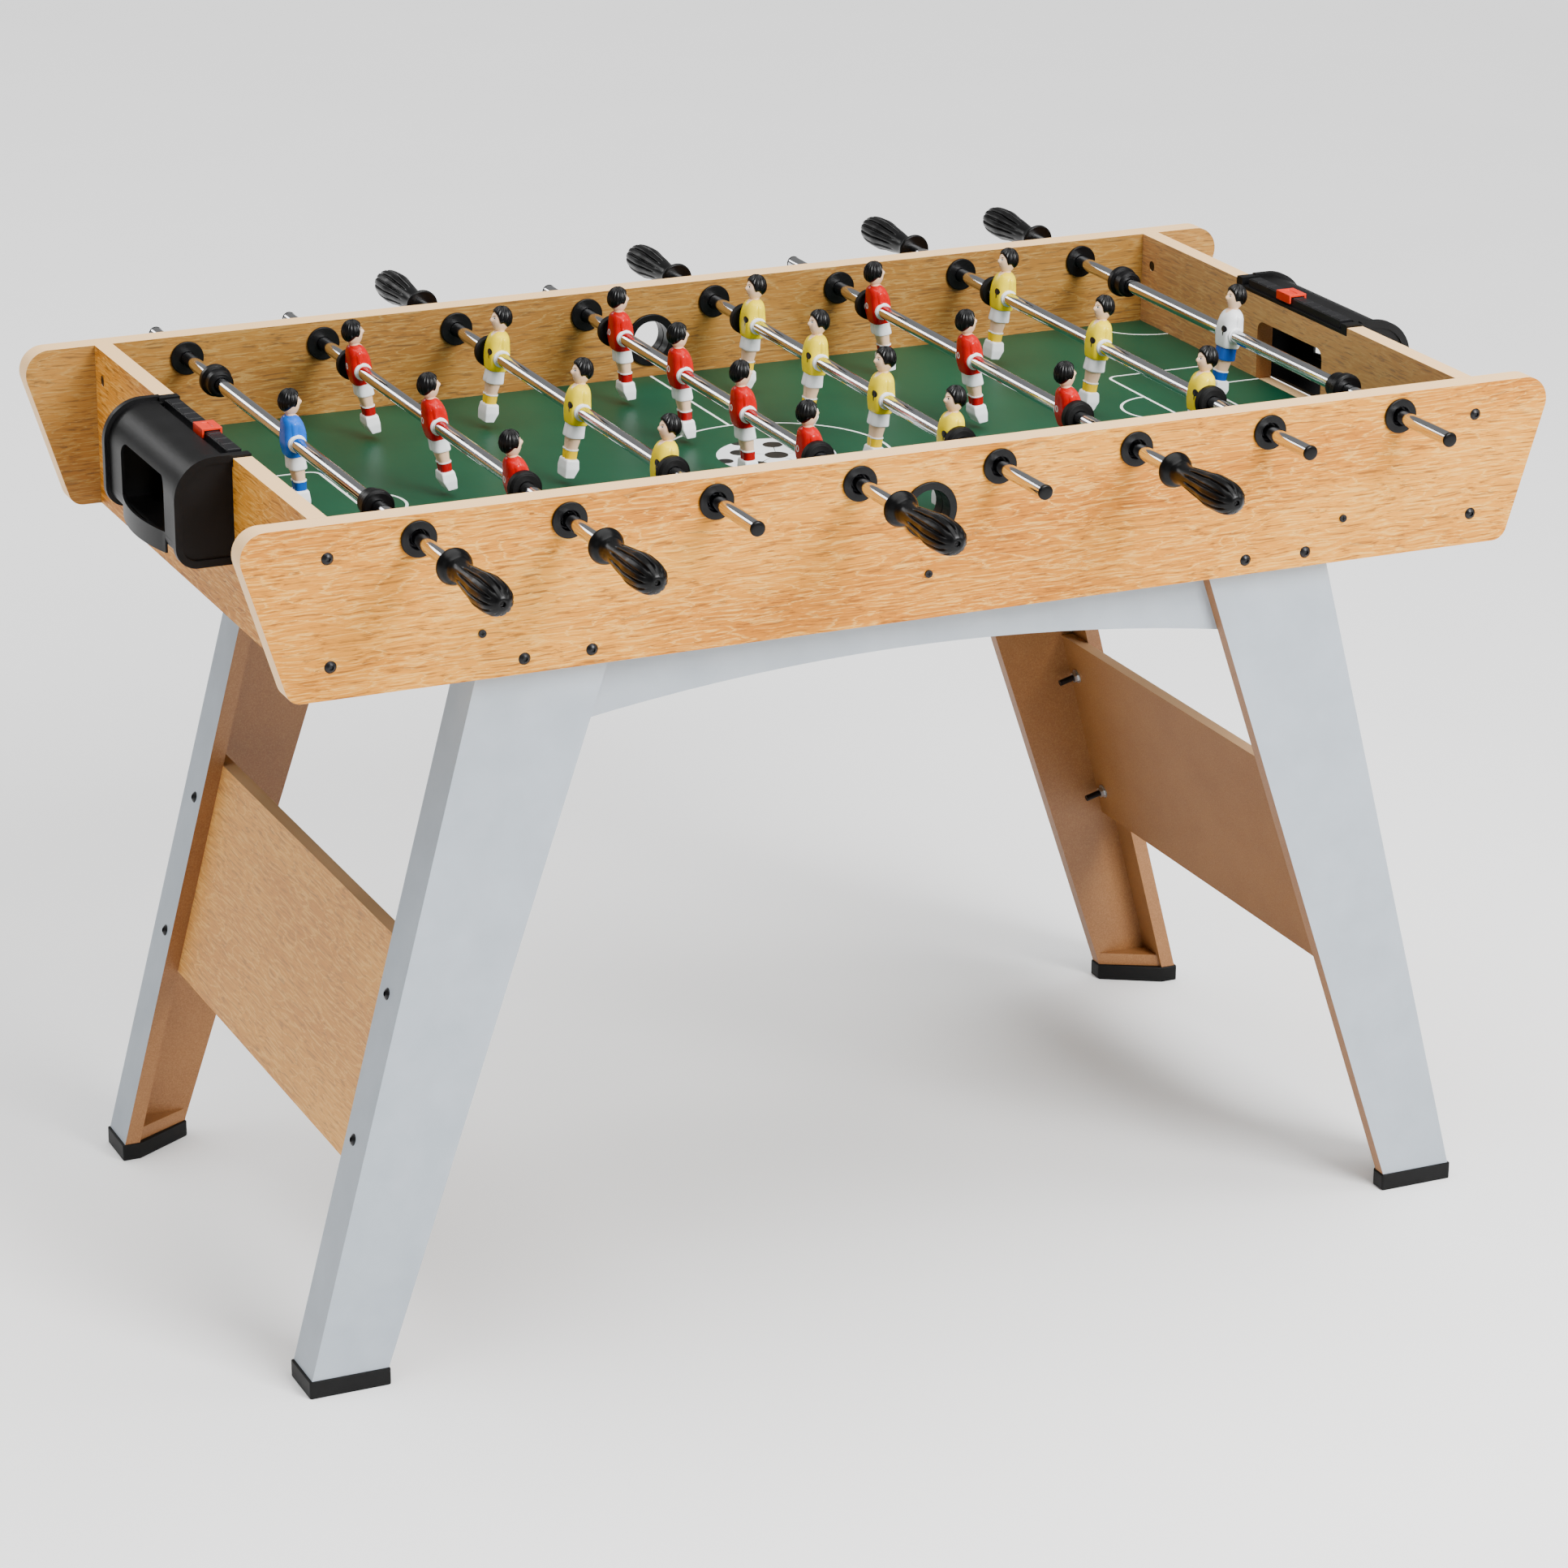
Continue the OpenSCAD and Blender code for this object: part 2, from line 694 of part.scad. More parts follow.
// Moves a child to rod i at rest: slid by its offset, with +Y towards its bare end
module on_rod(i) {
  translate([rod_x[i], rest_offset[i], rod_z]) mirror([0, grip_side[i] > 0 ? 1 : 0, 0]) children();
}

module rod(i) {
  color("lightsteelblue") on_rod(i) difference() {
    y_cylinder(rod_dia / 2, -grip_start - grip_length + 18, rod_reach);
    y_cylinder(rod_dia / 2 - rod_wall, -grip_start - grip_length, rod_reach + 1);
  }
}

// One man, facing +X, with the rod's axis along Y through the origin
module man() {
  difference() {
    union() {
      // head, hair and neck
      translate([0.5, 0, 33.5]) sphere(r = 8.6);
      translate([-1.5, 0, 37.2]) sphere(r = 8.3);
      translate([-0.5, 0, 18]) cylinder(r = 5, h = 12);
      // shirt: the side outline cut by the front outline
      intersection() {
        plate(-20, 20) polygon([
          [-7.5, -12], [7, -12], [9, 2], [8, 16], [4, 22], [-4, 22], [-7.5, 17], [-8.5, 4]
        ]);
        rotate([90, 0, 90]) translate([0, 0, -20]) linear_extrude(40) polygon([
          [-9.5, -12], [9.5, -12], [11, 2], [12, 14], [10, 20], [5, 23], [-5, 23], [-10, 20],
          [-12, 14], [-11, 2]
        ]);
      }
      // shorts, legs and boots
      translate([0, 0, -10]) intersection() {
        plate(-20, 20) polygon([[-8, 0], [8, 0], [8.5, -11.5], [-6, -11.5]]);
        translate([-20, -10.5, -12]) cube([40, 21, 13]);
      }
      plate(-8.5, 8.5) polygon([[-5, -21], [7, -21], [8, -44], [-3, -44]]);
      intersection() {
        plate(-20, 20) polygon([
          [-5, -43.5], [8.5, -43.5], [12, -49], [11, -foot_reach], [-3, -foot_reach], [-7, -53]
        ]);
        rotate([90, 0, 90]) translate([0, 0, -20]) linear_extrude(40) polygon([
          [-8.5, -43], [8.5, -43], [10.5, -50], [10, -foot_reach - 1], [-10, -foot_reach - 1], [-10.5, -50]
        ]);
      }
      y_cylinder(hub_r, -hub_length / 2, hub_length / 2);
    }
    y_cylinder(rod_dia / 2 + fit, -hub_length, hub_length);
  }
}

// The men of rod i: those whose grip is at the front face +X, the others -X
module men(i) {
  facing = grip_side[i] < 0 ? 0 : 180;
  color(shirt[i]) translate([rod_x[i], rest_offset[i], rod_z])
    for (y = men_places(i))
      translate([0, y, 0]) rotate([0, 0, facing]) rotate([0, -rest_spin[i], 0]) man();
}

// The grip at one end and the plug cap at the other
module handle(i) {
  color("black") on_rod(i) {
    difference() {
      translate([0, -grip_start, 0]) rotate([90, 0, 0]) grip();
      y_cylinder(rod_dia / 2 + fit, -grip_start - grip_length + 18, -grip_start + 1);
    }
    translate([0, rod_reach, 0]) rotate([-90, 0, 0]) {
      cylinder(r = cap_r, h = 1.5);
      intersection() {
        translate([0, 0, -8]) sphere(r = 11);
        translate([0, 0, 1.5 - eps]) cylinder(r = cap_r, h = 3);
      }
      translate([0, 0, -12]) cylinder(r = rod_dia / 2 - rod_wall - fit, h = 12 + eps);
    }
  }
}

// A turned grip along +Z: a domed flange, a neck, and a body that swells to a round end
module grip() {
  neck = hub_r;
  belly = grip_dia / 2;
  end_r = belly - 1.5;
  rotate_extrude($fn = 64) difference() {
    union() {
      translate([0, 0]) square([grip_flange_dia / 2 - 1.5, 3]);
      translate([0, 1.5]) square([grip_flange_dia / 2, 2]);
      polygon([
        [0, 3], [grip_flange_dia / 2, 3.5], [grip_flange_dia / 2 - 2.5, 9], [neck + 2.5, 14], [neck, 20],
        [neck + 1.4, 30], [belly - 1.8, 56], [belly, 74], [belly - 0.4, grip_length - end_r],
        [0, grip_length - end_r]
      ]);
      intersection() {
        translate([0, grip_length - end_r]) circle(r = end_r + 0.3);
        translate([0, grip_length - end_r - 1]) square([belly, end_r + 1]);
      }
    }
    translate([-50, -10]) square([50, grip_length + 20]);
  }
}

// Bumper discs beside the outer men, or the goalkeeper's stop sleeves
module stops(i) {
  keeper = men_count[i] == 1;
  color("black") translate([rod_x[i], rest_offset[i], rod_z])
    for (s = [0, 1]) mirror([0, s, 0]) if (keeper) stop_sleeve(); else bumper(outer_man(i) + slide_gap);
}

module bumper(y) {
  difference() {
    union() {
      y_cylinder(bumper_dia / 2, y, y + bumper_thick - 1.5);
      y_cylinder(bumper_dia / 2 - 1.5, y + 1, y + bumper_thick);
    }
    y_cylinder(rod_dia / 2 + rod_clear, y - 1, y + bumper_thick + 1);
  }
}

module stop_sleeve() {
  y = sleeve_reach;
  difference() {
    union() {
      y_cylinder(bumper_dia / 2, y - 8, y - 1);
      y_cylinder(bumper_dia / 2 - 1.5, y - 9, y);
      y_cylinder(bumper_dia / 2 - 2.5, y - sleeve_length + 1.5, y - 7);
      y_cylinder(bumper_dia / 2 - 4, y - sleeve_length, y - 7);
    }
    y_cylinder(rod_dia / 2 + rod_clear, y - sleeve_length - 1, y + 1);
  }
}

// The eight rods' pieces, from left to right
module rod_1() rod(0);
module men_1() men(0);
module handle_1() handle(0);
module stops_1() stops(0);
module rod_2() rod(1);
module men_2() men(1);
module handle_2() handle(1);
module stops_2() stops(1);
module rod_3() rod(2);
module men_3() men(2);
module handle_3() handle(2);
module stops_3() stops(2);
module rod_4() rod(3);
module men_4() men(3);
module handle_4() handle(3);
module stops_4() stops(3);
module rod_5() rod(4);
module men_5() men(4);
module handle_5() handle(4);
module stops_5() stops(4);
module rod_6() rod(5);
module men_6() men(5);
module handle_6() handle(5);
module stops_6() stops(5);
module rod_7() rod(6);
module men_7() men(6);
module handle_7() handle(6);
module stops_7() stops(6);
module rod_8() rod(7);
module men_8() men(7);
module handle_8() handle(7);
module stops_8() stops(7);

front_panel();
rear_panel();
left_end_wall();
right_end_wall();
playfield();
field_battens();
front_apron();
rear_apron();
front_left_leg();
front_right_leg();
rear_left_leg();
rear_right_leg();
rubber_feet();
left_stretcher();
right_stretcher();
left_goal_box();
right_goal_box();
scoring_bars();
left_score_slider();
right_score_slider();
ball_entries();
rod_bushes();
bush_nuts();
panel_bolts();
barrel_nuts();
stretcher_bolts();
hex_nuts();
field_screws();
rod_1();
men_1();
handle_1();
stops_1();
rod_2();
men_2();
handle_2();
stops_2();
rod_3();
men_3();
handle_3();
stops_3();
rod_4();
men_4();
handle_4();
stops_4();
rod_5();
men_5();
handle_5();
stops_5();
rod_6();
men_6();
handle_6();
stops_6();
rod_7();
men_7();
handle_7();
stops_7();
rod_8();
men_8();
handle_8();
stops_8();
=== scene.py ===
import math
import bpy
import numpy as np
from mathutils import Matrix, Vector


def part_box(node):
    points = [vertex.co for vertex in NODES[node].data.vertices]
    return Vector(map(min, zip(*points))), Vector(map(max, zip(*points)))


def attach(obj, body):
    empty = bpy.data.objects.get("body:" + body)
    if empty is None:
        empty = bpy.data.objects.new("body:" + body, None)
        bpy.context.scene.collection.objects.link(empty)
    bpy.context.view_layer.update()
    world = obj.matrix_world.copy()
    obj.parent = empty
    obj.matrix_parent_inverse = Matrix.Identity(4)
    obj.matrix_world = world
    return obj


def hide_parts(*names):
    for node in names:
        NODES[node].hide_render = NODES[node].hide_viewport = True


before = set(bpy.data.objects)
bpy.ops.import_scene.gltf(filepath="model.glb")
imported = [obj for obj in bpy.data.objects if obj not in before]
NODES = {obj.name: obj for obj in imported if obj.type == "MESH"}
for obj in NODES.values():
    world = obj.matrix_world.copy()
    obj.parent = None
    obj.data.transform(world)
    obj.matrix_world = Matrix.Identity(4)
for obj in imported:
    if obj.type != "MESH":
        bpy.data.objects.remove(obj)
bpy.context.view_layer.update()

MM = 0.001
TURN = 2 * math.pi

# Field print: reach from the goal line and half width of each area, with its corner radius; radii of the
# round lines and of the ball; and half the width of a line
PENALTY_AREA, PENALTY_CORNER = (130 * MM, 115 * MM), 10 * MM
GOAL_AREA, GOAL_CORNER = (64 * MM, 54 * MM), 6 * MM
ARC_R, CORNER_R, CIRCLE_R, BALL_R = 40 * MM, 56 * MM, 105 * MM, 54 * MM
LINE_HALF = 1.3 * MM

# In millimetres: half a man's hub along the rod; a grip's length and the radii of its flange and belly;
# its flutes; and the height of a plug cap's dome on the rod's bare end
HUB_HALF = 13.5
GRIP_LENGTH, GRIP_FLANGE, GRIP_BELLY = 108.0, 15.5, 14.7
FLUTES, FLUTE_DEPTH = 12, 2.6
CAP_DOME = 3.0

# Kinds of node by short names, the two outputs that are used of Texture Coordinate, and colour mixing
MATHS, VECTORS, PARTS = "ShaderNodeMath", "ShaderNodeVectorMath", "ShaderNodeSeparateXYZ"
MIX, RAMP, RANGE = "ShaderNodeMix", "ShaderNodeValToRGB", "ShaderNodeMapRange"
NOISE, BUMP, MAPPING = "ShaderNodeTexNoise", "ShaderNodeBump", "ShaderNodeMapping"
COORDS = "ShaderNodeTexCoord"
NORMAL, OBJECT = 1, 3
COLOURS = {"data_type": "RGBA", "out": 2}


# ---------------------------------------------------------------- materials

def paint(code):
    """Linear red, green, blue and alpha of an sRGB hex colour such as "C4C8CB"."""
    part = np.array([int(code[i:i + 2], 16) for i in (0, 2, 4)]) / 255
    line = np.where(part <= 0.04045, part / 12.92, ((part + 0.055) / 1.055) ** 2.4)
    return (*line.tolist(), 1.0)


def start(name, **finish):
    """A new material with one Principled shader; finish sets the shader's own sockets."""
    material = bpy.data.materials.new(name)
    material.use_nodes = True
    tree = material.node_tree
    shader = tree.nodes["Principled BSDF"]
    for socket, value in finish.items():
        shader.inputs[socket.replace("_", " ")].default_value = value
    return material, tree, shader


def add(tree, kind, *inputs, out=0, to=None, stops=(), **settings):
    """Adds a node with its settings and links, and returns one of its outputs.

    Each input is a socket to link, a value to set or None to skip, in the node's own order. A single
    dict gives inputs by number or name instead. to is a shader socket that takes the output, and stops
    are a ramp's (place, hex colour) pairs. A colour Mix takes its share, low and high at 0, 6 and 7.
    """
    node = tree.nodes.new(kind)
    for key, value in settings.items():
        setattr(node, key, value)
    chosen = inputs[0] if inputs and isinstance(inputs[0], dict) else dict(enumerate(inputs))
    for socket, value in chosen.items():
        if isinstance(value, bpy.types.NodeSocket):
            tree.links.new(value, node.inputs[socket])
        elif value is not None:
            node.inputs[socket].default_value = value
    for _ in stops[2:]:
        node.color_ramp.elements.new(0.5)
    for k, (place, code) in enumerate(stops):
        node.color_ramp.elements[k].position = place
        node.color_ramp.elements[k].color = paint(code)
    if to is not None:
        tree.links.new(node.outputs[out], to)
    return node.outputs[out]


# Oak colours: three slow tones of the wood, then its pale rays and its dark pores
OAK_DEEP, OAK_MID, OAK_PALE = "B8701A", "C67F22", "D28C2C"
OAK_RAY, OAK_PORE = "E2B05C", "74421A"


def oak_figure(tree, along):
    """Printed oak, all drawn out along one axis: slow tone, wavy cathedral lines, rays and pores.

    along is 0 for grain along X and 1 for grain along Y. One noise, 1.7 mm wide and 24 mm long and swayed
    by a slower one, gives the pale rays at its peaks and the dark pores in its hollows. Cathedral lines
    are where a slow noise times 15 passes a whole number. Real pores are 0.3 mm wide: they are drawn
    1.7 mm wide so that they show.
    """
    place = add(tree, COORDS, out=OBJECT)

    def scale(length, width):
        """Mapping scale of a pattern that is so many millimetres long with the grain and wide across it."""
        return tuple(1 / ((length if axis == along else width) * MM) for axis in range(3))

    sway = add(tree, MAPPING, place, None, None, scale(45, 22))
    sway = add(tree, NOISE, sway, None, 1.0, 2.0, 0.5, out=1)
    sway = add(tree, VECTORS, sway, (3.2, 3.2, 3.2), operation="MULTIPLY")
    slow = add(tree, MAPPING, place, None, None, scale(300, 55))
    slow = add(tree, NOISE, slow, None, 1.0, 2.0, 0.5)
    ring = add(tree, MAPPING, place, None, None, scale(190, 30))
    ring = add(tree, NOISE, ring, None, 1.0, 2.0, 0.45)
    stroke = add(tree, MAPPING, place, sway, None, scale(24, 1.7))
    stroke = add(tree, NOISE, stroke, None, 1.0, 3.0, 0.6)
    growth = add(tree, MATHS, ring, 15.0, operation="MULTIPLY")
    growth = add(tree, MATHS, growth, stroke, operation="ADD")
    growth = add(tree, MATHS, growth, operation="FRACT")
    cathedral = add(tree, RANGE, growth, 0.84, 0.97, 0.0, 0.70)
    ray = add(tree, RANGE, stroke, 0.54, 0.66, 0.0, 0.72)
    pale = add(tree, MATHS, cathedral, ray, operation="MAXIMUM")
    dark = add(tree, RANGE, stroke, 0.46, 0.34, 0.0, 0.72)
    tone = add(tree, RAMP, slow, stops=((0.34, OAK_DEEP), (0.5, OAK_MID), (0.66, OAK_PALE)))
    tone = add(tree, MIX, {0: pale, 6: tone, 7: paint(OAK_RAY)}, **COLOURS)
    return add(tree, MIX, {0: dark, 6: tone, 7: paint(OAK_PORE)}, **COLOURS), stroke


def outward(tree, axis):
    """1 on faces that look away from the table's middle along an axis (0 for X, 1 for Y), else 0."""
    normal = add(tree, PARTS, add(tree, COORDS, out=NORMAL), out=axis)
    place = add(tree, PARTS, add(tree, COORDS, out=OBJECT), out=axis)
    side = add(tree, MATHS, place, operation="SIGN")
    facing = add(tree, MATHS, normal, side, operation="MULTIPLY")
    return add(tree, MATHS, facing, 0.6, operation="GREATER_THAN")


def flat_on(tree, axis):
    """1 on faces square to an axis, whichever way they look, else 0."""
    normal = add(tree, PARTS, add(tree, COORDS, out=NORMAL), out=axis)
    size = add(tree, MATHS, normal, operation="ABSOLUTE")
    return add(tree, MATHS, size, 0.75, operation="GREATER_THAN")


def upward(tree, least):
    """1 where the upright part of the normal is over least, as on a top edge, else 0."""
    normal = add(tree, PARTS, add(tree, COORDS, out=NORMAL), out=2)
    return add(tree, MATHS, normal, least, operation="GREATER_THAN")


def fibres(tree):
    """Raw fibreboard: pale and dark fibres about 1.1 mm long, with no direction, in 71 mm clouds."""
    place = add(tree, COORDS, out=OBJECT)
    fleck = add(tree, NOISE, place, None, 1 / (1.11 * MM), 3.0, 0.6)
    cloud = add(tree, NOISE, place, None, 1 / (71.4 * MM), 2.0, 0.5)
    tone = add(tree, RAMP, fleck, stops=((0.3, "7B4F26"), (0.55, "916033"), (0.75, "A27446")))
    patch = add(tree, RAMP, cloud, stops=((0.3, "754B24"), (0.7, "9A6C3C")))
    return add(tree, MIX, {0: 0.25, 6: tone, 7: patch}, **COLOURS), fleck


def oak_board(name, along, face_axis, inner_painted_light, cut_edges=False):
    """Melamine faced board: printed oak on its faces, a smooth pinkish edge band round them.

    The share and hex colour that follow face_axis are mixed into the print on the faces towards the field as
    painted light: a dark painted shade on the panels and a pale painted light on the end walls. With
    cut_edges, only the edges that look up are banded and the others are raw fibreboard.
    """
    material, tree, shader = start(name, Roughness=0.5, Specular_IOR_Level=0.14)
    oak, streak = oak_figure(tree, along)
    # Painted light on the faces towards the field: the given colour is mixed into the print, as painted
    # shade on the panels and as paler painted light on the end walls
    inner = add(tree, MIX, {0: inner_painted_light[0], 6: oak, 7: paint(inner_painted_light[1])}, **COLOURS)
    oak = add(tree, MIX, {0: outward(tree, face_axis), 6: inner, 7: oak}, **COLOURS)
    rim = paint("FBCF96")
    if cut_edges:
        rim = add(tree, MIX, {0: upward(tree, 0.7), 6: fibres(tree)[0], 7: rim}, **COLOURS)
    add(tree, MIX, {0: flat_on(tree, face_axis), 6: rim, 7: oak}, to=shader.inputs["Base Color"], **COLOURS)
    add(tree, BUMP, {"Strength": 0.35, "Distance": 0.12 * MM, "Height": streak}, to=shader.inputs["Normal"])
    return material


def stretcher_board(name):
    """Board with printed oak on its outer face only: raw fibreboard inside, edge band on its top."""
    material, tree, shader = start(name, Roughness=0.55, Specular_IOR_Level=0.25)
    oak, streak = oak_figure(tree, 1)
    # Painted light: 22 per cent of a pale oak colour mixed over the print makes the outer face look more
    # brightly lit
    oak = add(tree, MIX, {0: 0.22, 6: oak, 7: paint("FFCF90")}, **COLOURS)
    inside = add(tree, MIX, {0: upward(tree, 0.8), 6: fibres(tree)[0], 7: paint("C79E76")}, **COLOURS)
    add(tree, MIX, {0: outward(tree, 0), 6: inside, 7: oak}, to=shader.inputs["Base Color"], **COLOURS)
    add(tree, BUMP, {"Strength": 0.35, "Distance": 0.12 * MM, "Height": streak}, to=shader.inputs["Normal"])
    return material


def grey_board(name):
    """Painted foil on a board's outer faces, mottled in 38 mm clouds; its inside and cut edges are raw."""
    material, tree, shader = start(name, Roughness=0.48)
    raw, fleck = fibres(tree)
    mottle = add(tree, NOISE, add(tree, COORDS, out=OBJECT), None, 1 / (38.5 * MM), 4.0, 0.55)
    foil = add(tree, RAMP, mottle, stops=((0.3, "98A1AA"), (0.7, "A1AAB3")))
    skin = add(tree, MATHS, outward(tree, 0), outward(tree, 1), operation="MAXIMUM")
    add(tree, MIX, {0: skin, 6: raw, 7: foil}, to=shader.inputs["Base Color"], **COLOURS)
    add(tree, BUMP, {"Strength": 0.3, "Distance": 0.08 * MM, "Height": fleck}, to=shader.inputs["Normal"])
    return material


def raw_board(name):
    """Uncovered fibreboard, dry and matt."""
    material, tree, shader = start(name, Roughness=0.85, Specular_IOR_Level=0.2)
    raw, fleck = fibres(tree)
    tree.links.new(raw, shader.inputs["Base Color"])
    add(tree, BUMP, {"Strength": 0.4, "Distance": 0.1 * MM, "Height": fleck}, to=shader.inputs["Normal"])
    return material


def plastic(name, dark, light, grit, roughness, depth=0.12):
    """Moulded plastic or rubber with a spark-eroded grain: grit is its size and depth its depth, in mm."""
    material, tree, shader = start(name, Roughness=roughness, Specular_IOR_Level=0.18)
    place = add(tree, COORDS, out=OBJECT)
    grain = add(tree, NOISE, place, None, 1 / (grit * MM), 3.0, 0.6)
    wear = add(tree, NOISE, place, None, 1 / (45.5 * MM), 3.0, 0.55)
    add(tree, RAMP, wear, stops=((0.35, dark), (0.7, light)), to=shader.inputs["Base Color"])
    add(tree, BUMP, {"Strength": 0.6, "Distance": depth * MM, "Height": grain}, to=shader.inputs["Normal"])
    return material


def metal(name, code, roughness, metallic=1.0):
    """Bare or plated metal with a 0.6 mm grain: smudges 33 mm across vary its polish a little."""
    material, tree, shader = start(name, Metallic=metallic, Base_Color=paint(code))
    place = add(tree, COORDS, out=OBJECT)
    smudge = add(tree, NOISE, place, None, 1 / (33.3 * MM), 3.0, 0.5)
    add(tree, RANGE, smudge, 0.3, 0.7, roughness * 0.75, roughness * 1.3, to=shader.inputs["Roughness"])
    brushed = add(tree, NOISE, place, None, 1 / (0.6 * MM), 2.0, 0.5)
    add(tree, BUMP, {"Strength": 0.4, "Distance": 0.02 * MM, "Height": brushed}, to=shader.inputs["Normal"])
    return material


def pitch_print(name):
    """Screen printed field: green ink, white lines and a ball, worked out from distances in plan.

    A line is where the distance to its shape is under 1.3 mm. A rounded box at c with half sizes b
    and corner radius r is where the length of max(|p - c| - b + r, 0) equals r. The ball's patches are
    found in one of five equal sectors, to which the turn round its middle is folded back.
    """
    material, tree, shader = start(name, Roughness=0.42, Specular_IOR_Level=0.25)
    half_x, half_y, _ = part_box("playfield")[1]
    place = add(tree, COORDS, out=OBJECT)
    flat = add(tree, VECTORS, place, (1, 1, 0), operation="MULTIPLY")
    quarter = add(tree, VECTORS, flat, operation="ABSOLUTE")
    plan = add(tree, PARTS, quarter).node
    along, across = plan.outputs[0], plan.outputs[1]

    def ring(centre, half, radius):
        """Distance from the outline of a rounded box in the quarter where X and Y are positive."""
        away = add(tree, VECTORS, quarter, (*centre, 0), operation="SUBTRACT")
        away = add(tree, VECTORS, away, operation="ABSOLUTE")
        away = add(tree, VECTORS, away, (half[0] - radius, half[1] - radius, 0), operation="SUBTRACT")
        away = add(tree, VECTORS, away, (0, 0, 0), operation="MAXIMUM")
        away = add(tree, VECTORS, away, operation="LENGTH", out=1)
        away = add(tree, MATHS, away, radius, operation="SUBTRACT")
        return add(tree, MATHS, away, operation="ABSOLUTE")

    area_edge = half_x - PENALTY_AREA[0]
    inside_area = add(tree, MATHS, along, area_edge, operation="GREATER_THAN")
    arc = add(tree, MATHS, ring((area_edge, 0), (ARC_R, ARC_R), ARC_R), inside_area, operation="ADD")
    inside_circle = add(tree, MATHS, across, CIRCLE_R, operation="LESS_THAN")
    halfway = add(tree, MATHS, along, inside_circle, operation="ADD")
    near = add(tree, MATHS, halfway, arc, operation="MINIMUM")
    for centre, half, radius in (
        ((0, 0), (CIRCLE_R, CIRCLE_R), CIRCLE_R), ((half_x, 0), PENALTY_AREA, PENALTY_CORNER),
        ((half_x, 0), GOAL_AREA, GOAL_CORNER), ((half_x, half_y), (CORNER_R, CORNER_R), CORNER_R),
    ):
        near = add(tree, MATHS, near, ring(centre, half, radius), operation="MINIMUM")
    line = add(tree, MATHS, near, LINE_HALF, operation="LESS_THAN")

    parts = add(tree, PARTS, place).node
    reach = add(tree, VECTORS, flat, operation="LENGTH", out=1)
    turn = add(tree, MATHS, parts.outputs[1], parts.outputs[0], operation="ARCTAN2")
    sector = add(tree, MATHS, turn, TURN / 10, operation="PINGPONG")
    sine = add(tree, MATHS, sector, operation="SINE")
    fold_x = add(tree, MATHS, reach, add(tree, MATHS, sector, operation="COSINE"), operation="MULTIPLY")
    fold_y = add(tree, MATHS, reach, sine, operation="MULTIPLY")
    fold = add(tree, "ShaderNodeCombineXYZ", fold_x, fold_y)
    dark = add(tree, MATHS, reach, 0.20 * BALL_R, operation="LESS_THAN")
    for x, y, radius in ((0.62, 0, 0.17), (0.75, 0.545, 0.14)):
        away = add(tree, VECTORS, fold, (x * BALL_R, y * BALL_R, 0), operation="SUBTRACT")
        away = add(tree, VECTORS, away, operation="LENGTH", out=1)
        patch = add(tree, MATHS, away, radius * BALL_R, operation="LESS_THAN")
        dark = add(tree, MATHS, dark, patch, operation="MAXIMUM")
    seam = add(tree, MATHS, sine, 0.02, operation="LESS_THAN")
    within = add(tree, MATHS, reach, 0.62 * BALL_R, operation="LESS_THAN")
    seam = add(tree, MATHS, seam, within, operation="MULTIPLY")
    dark = add(tree, MATHS, dark, seam, operation="MAXIMUM")
    ball = add(tree, MATHS, reach, BALL_R, operation="LESS_THAN")

    cloud = add(tree, NOISE, place, None, 1 / (111 * MM), 3.0, 0.5)
    green = add(tree, RAMP, cloud, stops=((0.3, "04402A"), (0.7, "084830")))
    tone = add(tree, MIX, {0: line, 6: green, 7: paint("E9EFEA")}, **COLOURS)
    leather = add(tree, MIX, {0: dark, 6: paint("E6EAEC"), 7: paint("15181A")}, **COLOURS)
    add(tree, MIX, {0: ball, 6: tone, 7: leather}, to=shader.inputs["Base Color"], **COLOURS)
    fine = add(tree, NOISE, place, None, 1 / (1.43 * MM), 2.0, 0.5)
    add(tree, BUMP, {"Strength": 0.3, "Distance": 0.05 * MM, "Height": fine}, to=shader.inputs["Normal"])
    return material


def figure_paint(name, code, marks=(), gloss=0.22):
    """Sprayed enamel on a moulded figure, thick and glossy, with small printed marks.

    A mark is (hex colour, centre, half sizes) in the figure's own millimetres: it is drawn where the
    squares of the distances over the half sizes add up to less than 1. The paint is cloudy over 8.3 mm
    and dimpled every 1.1 mm, in the same millimetres.
    """
    material, tree, shader = start(name, Roughness=gloss, Specular_IOR_Level=0.25)
    place = add(tree, "ShaderNodeAttribute", attribute_name="figure_place", out=1)
    cloud = add(tree, NOISE, place, None, 1 / 8.33, 2.0, 0.5)
    shade = add(tree, RANGE, cloud, 0.3, 0.7, 0.0, 0.04)
    tone = add(tree, MIX, {0: shade, 6: paint(code), 7: paint("101010")}, **COLOURS)
    for colour, centre, half in marks:
        away = add(tree, VECTORS, place, centre, operation="SUBTRACT")
        away = add(tree, VECTORS, away, half, operation="DIVIDE")
        away = add(tree, VECTORS, away, operation="LENGTH", out=1)
        inside = add(tree, MATHS, away, 1.0, operation="LESS_THAN")
        tone = add(tree, MIX, {0: inside, 6: tone, 7: paint(colour)}, **COLOURS)
    tree.links.new(tone, shader.inputs["Base Color"])
    dimple = add(tree, NOISE, place, None, 1 / 1.11, 2.0, 0.5)
    add(tree, BUMP, {"Strength": 0.4, "Distance": 0.06 * MM, "Height": dimple}, to=shader.inputs["Normal"])
    return material


# ---------------------------------------------------------------- shapes

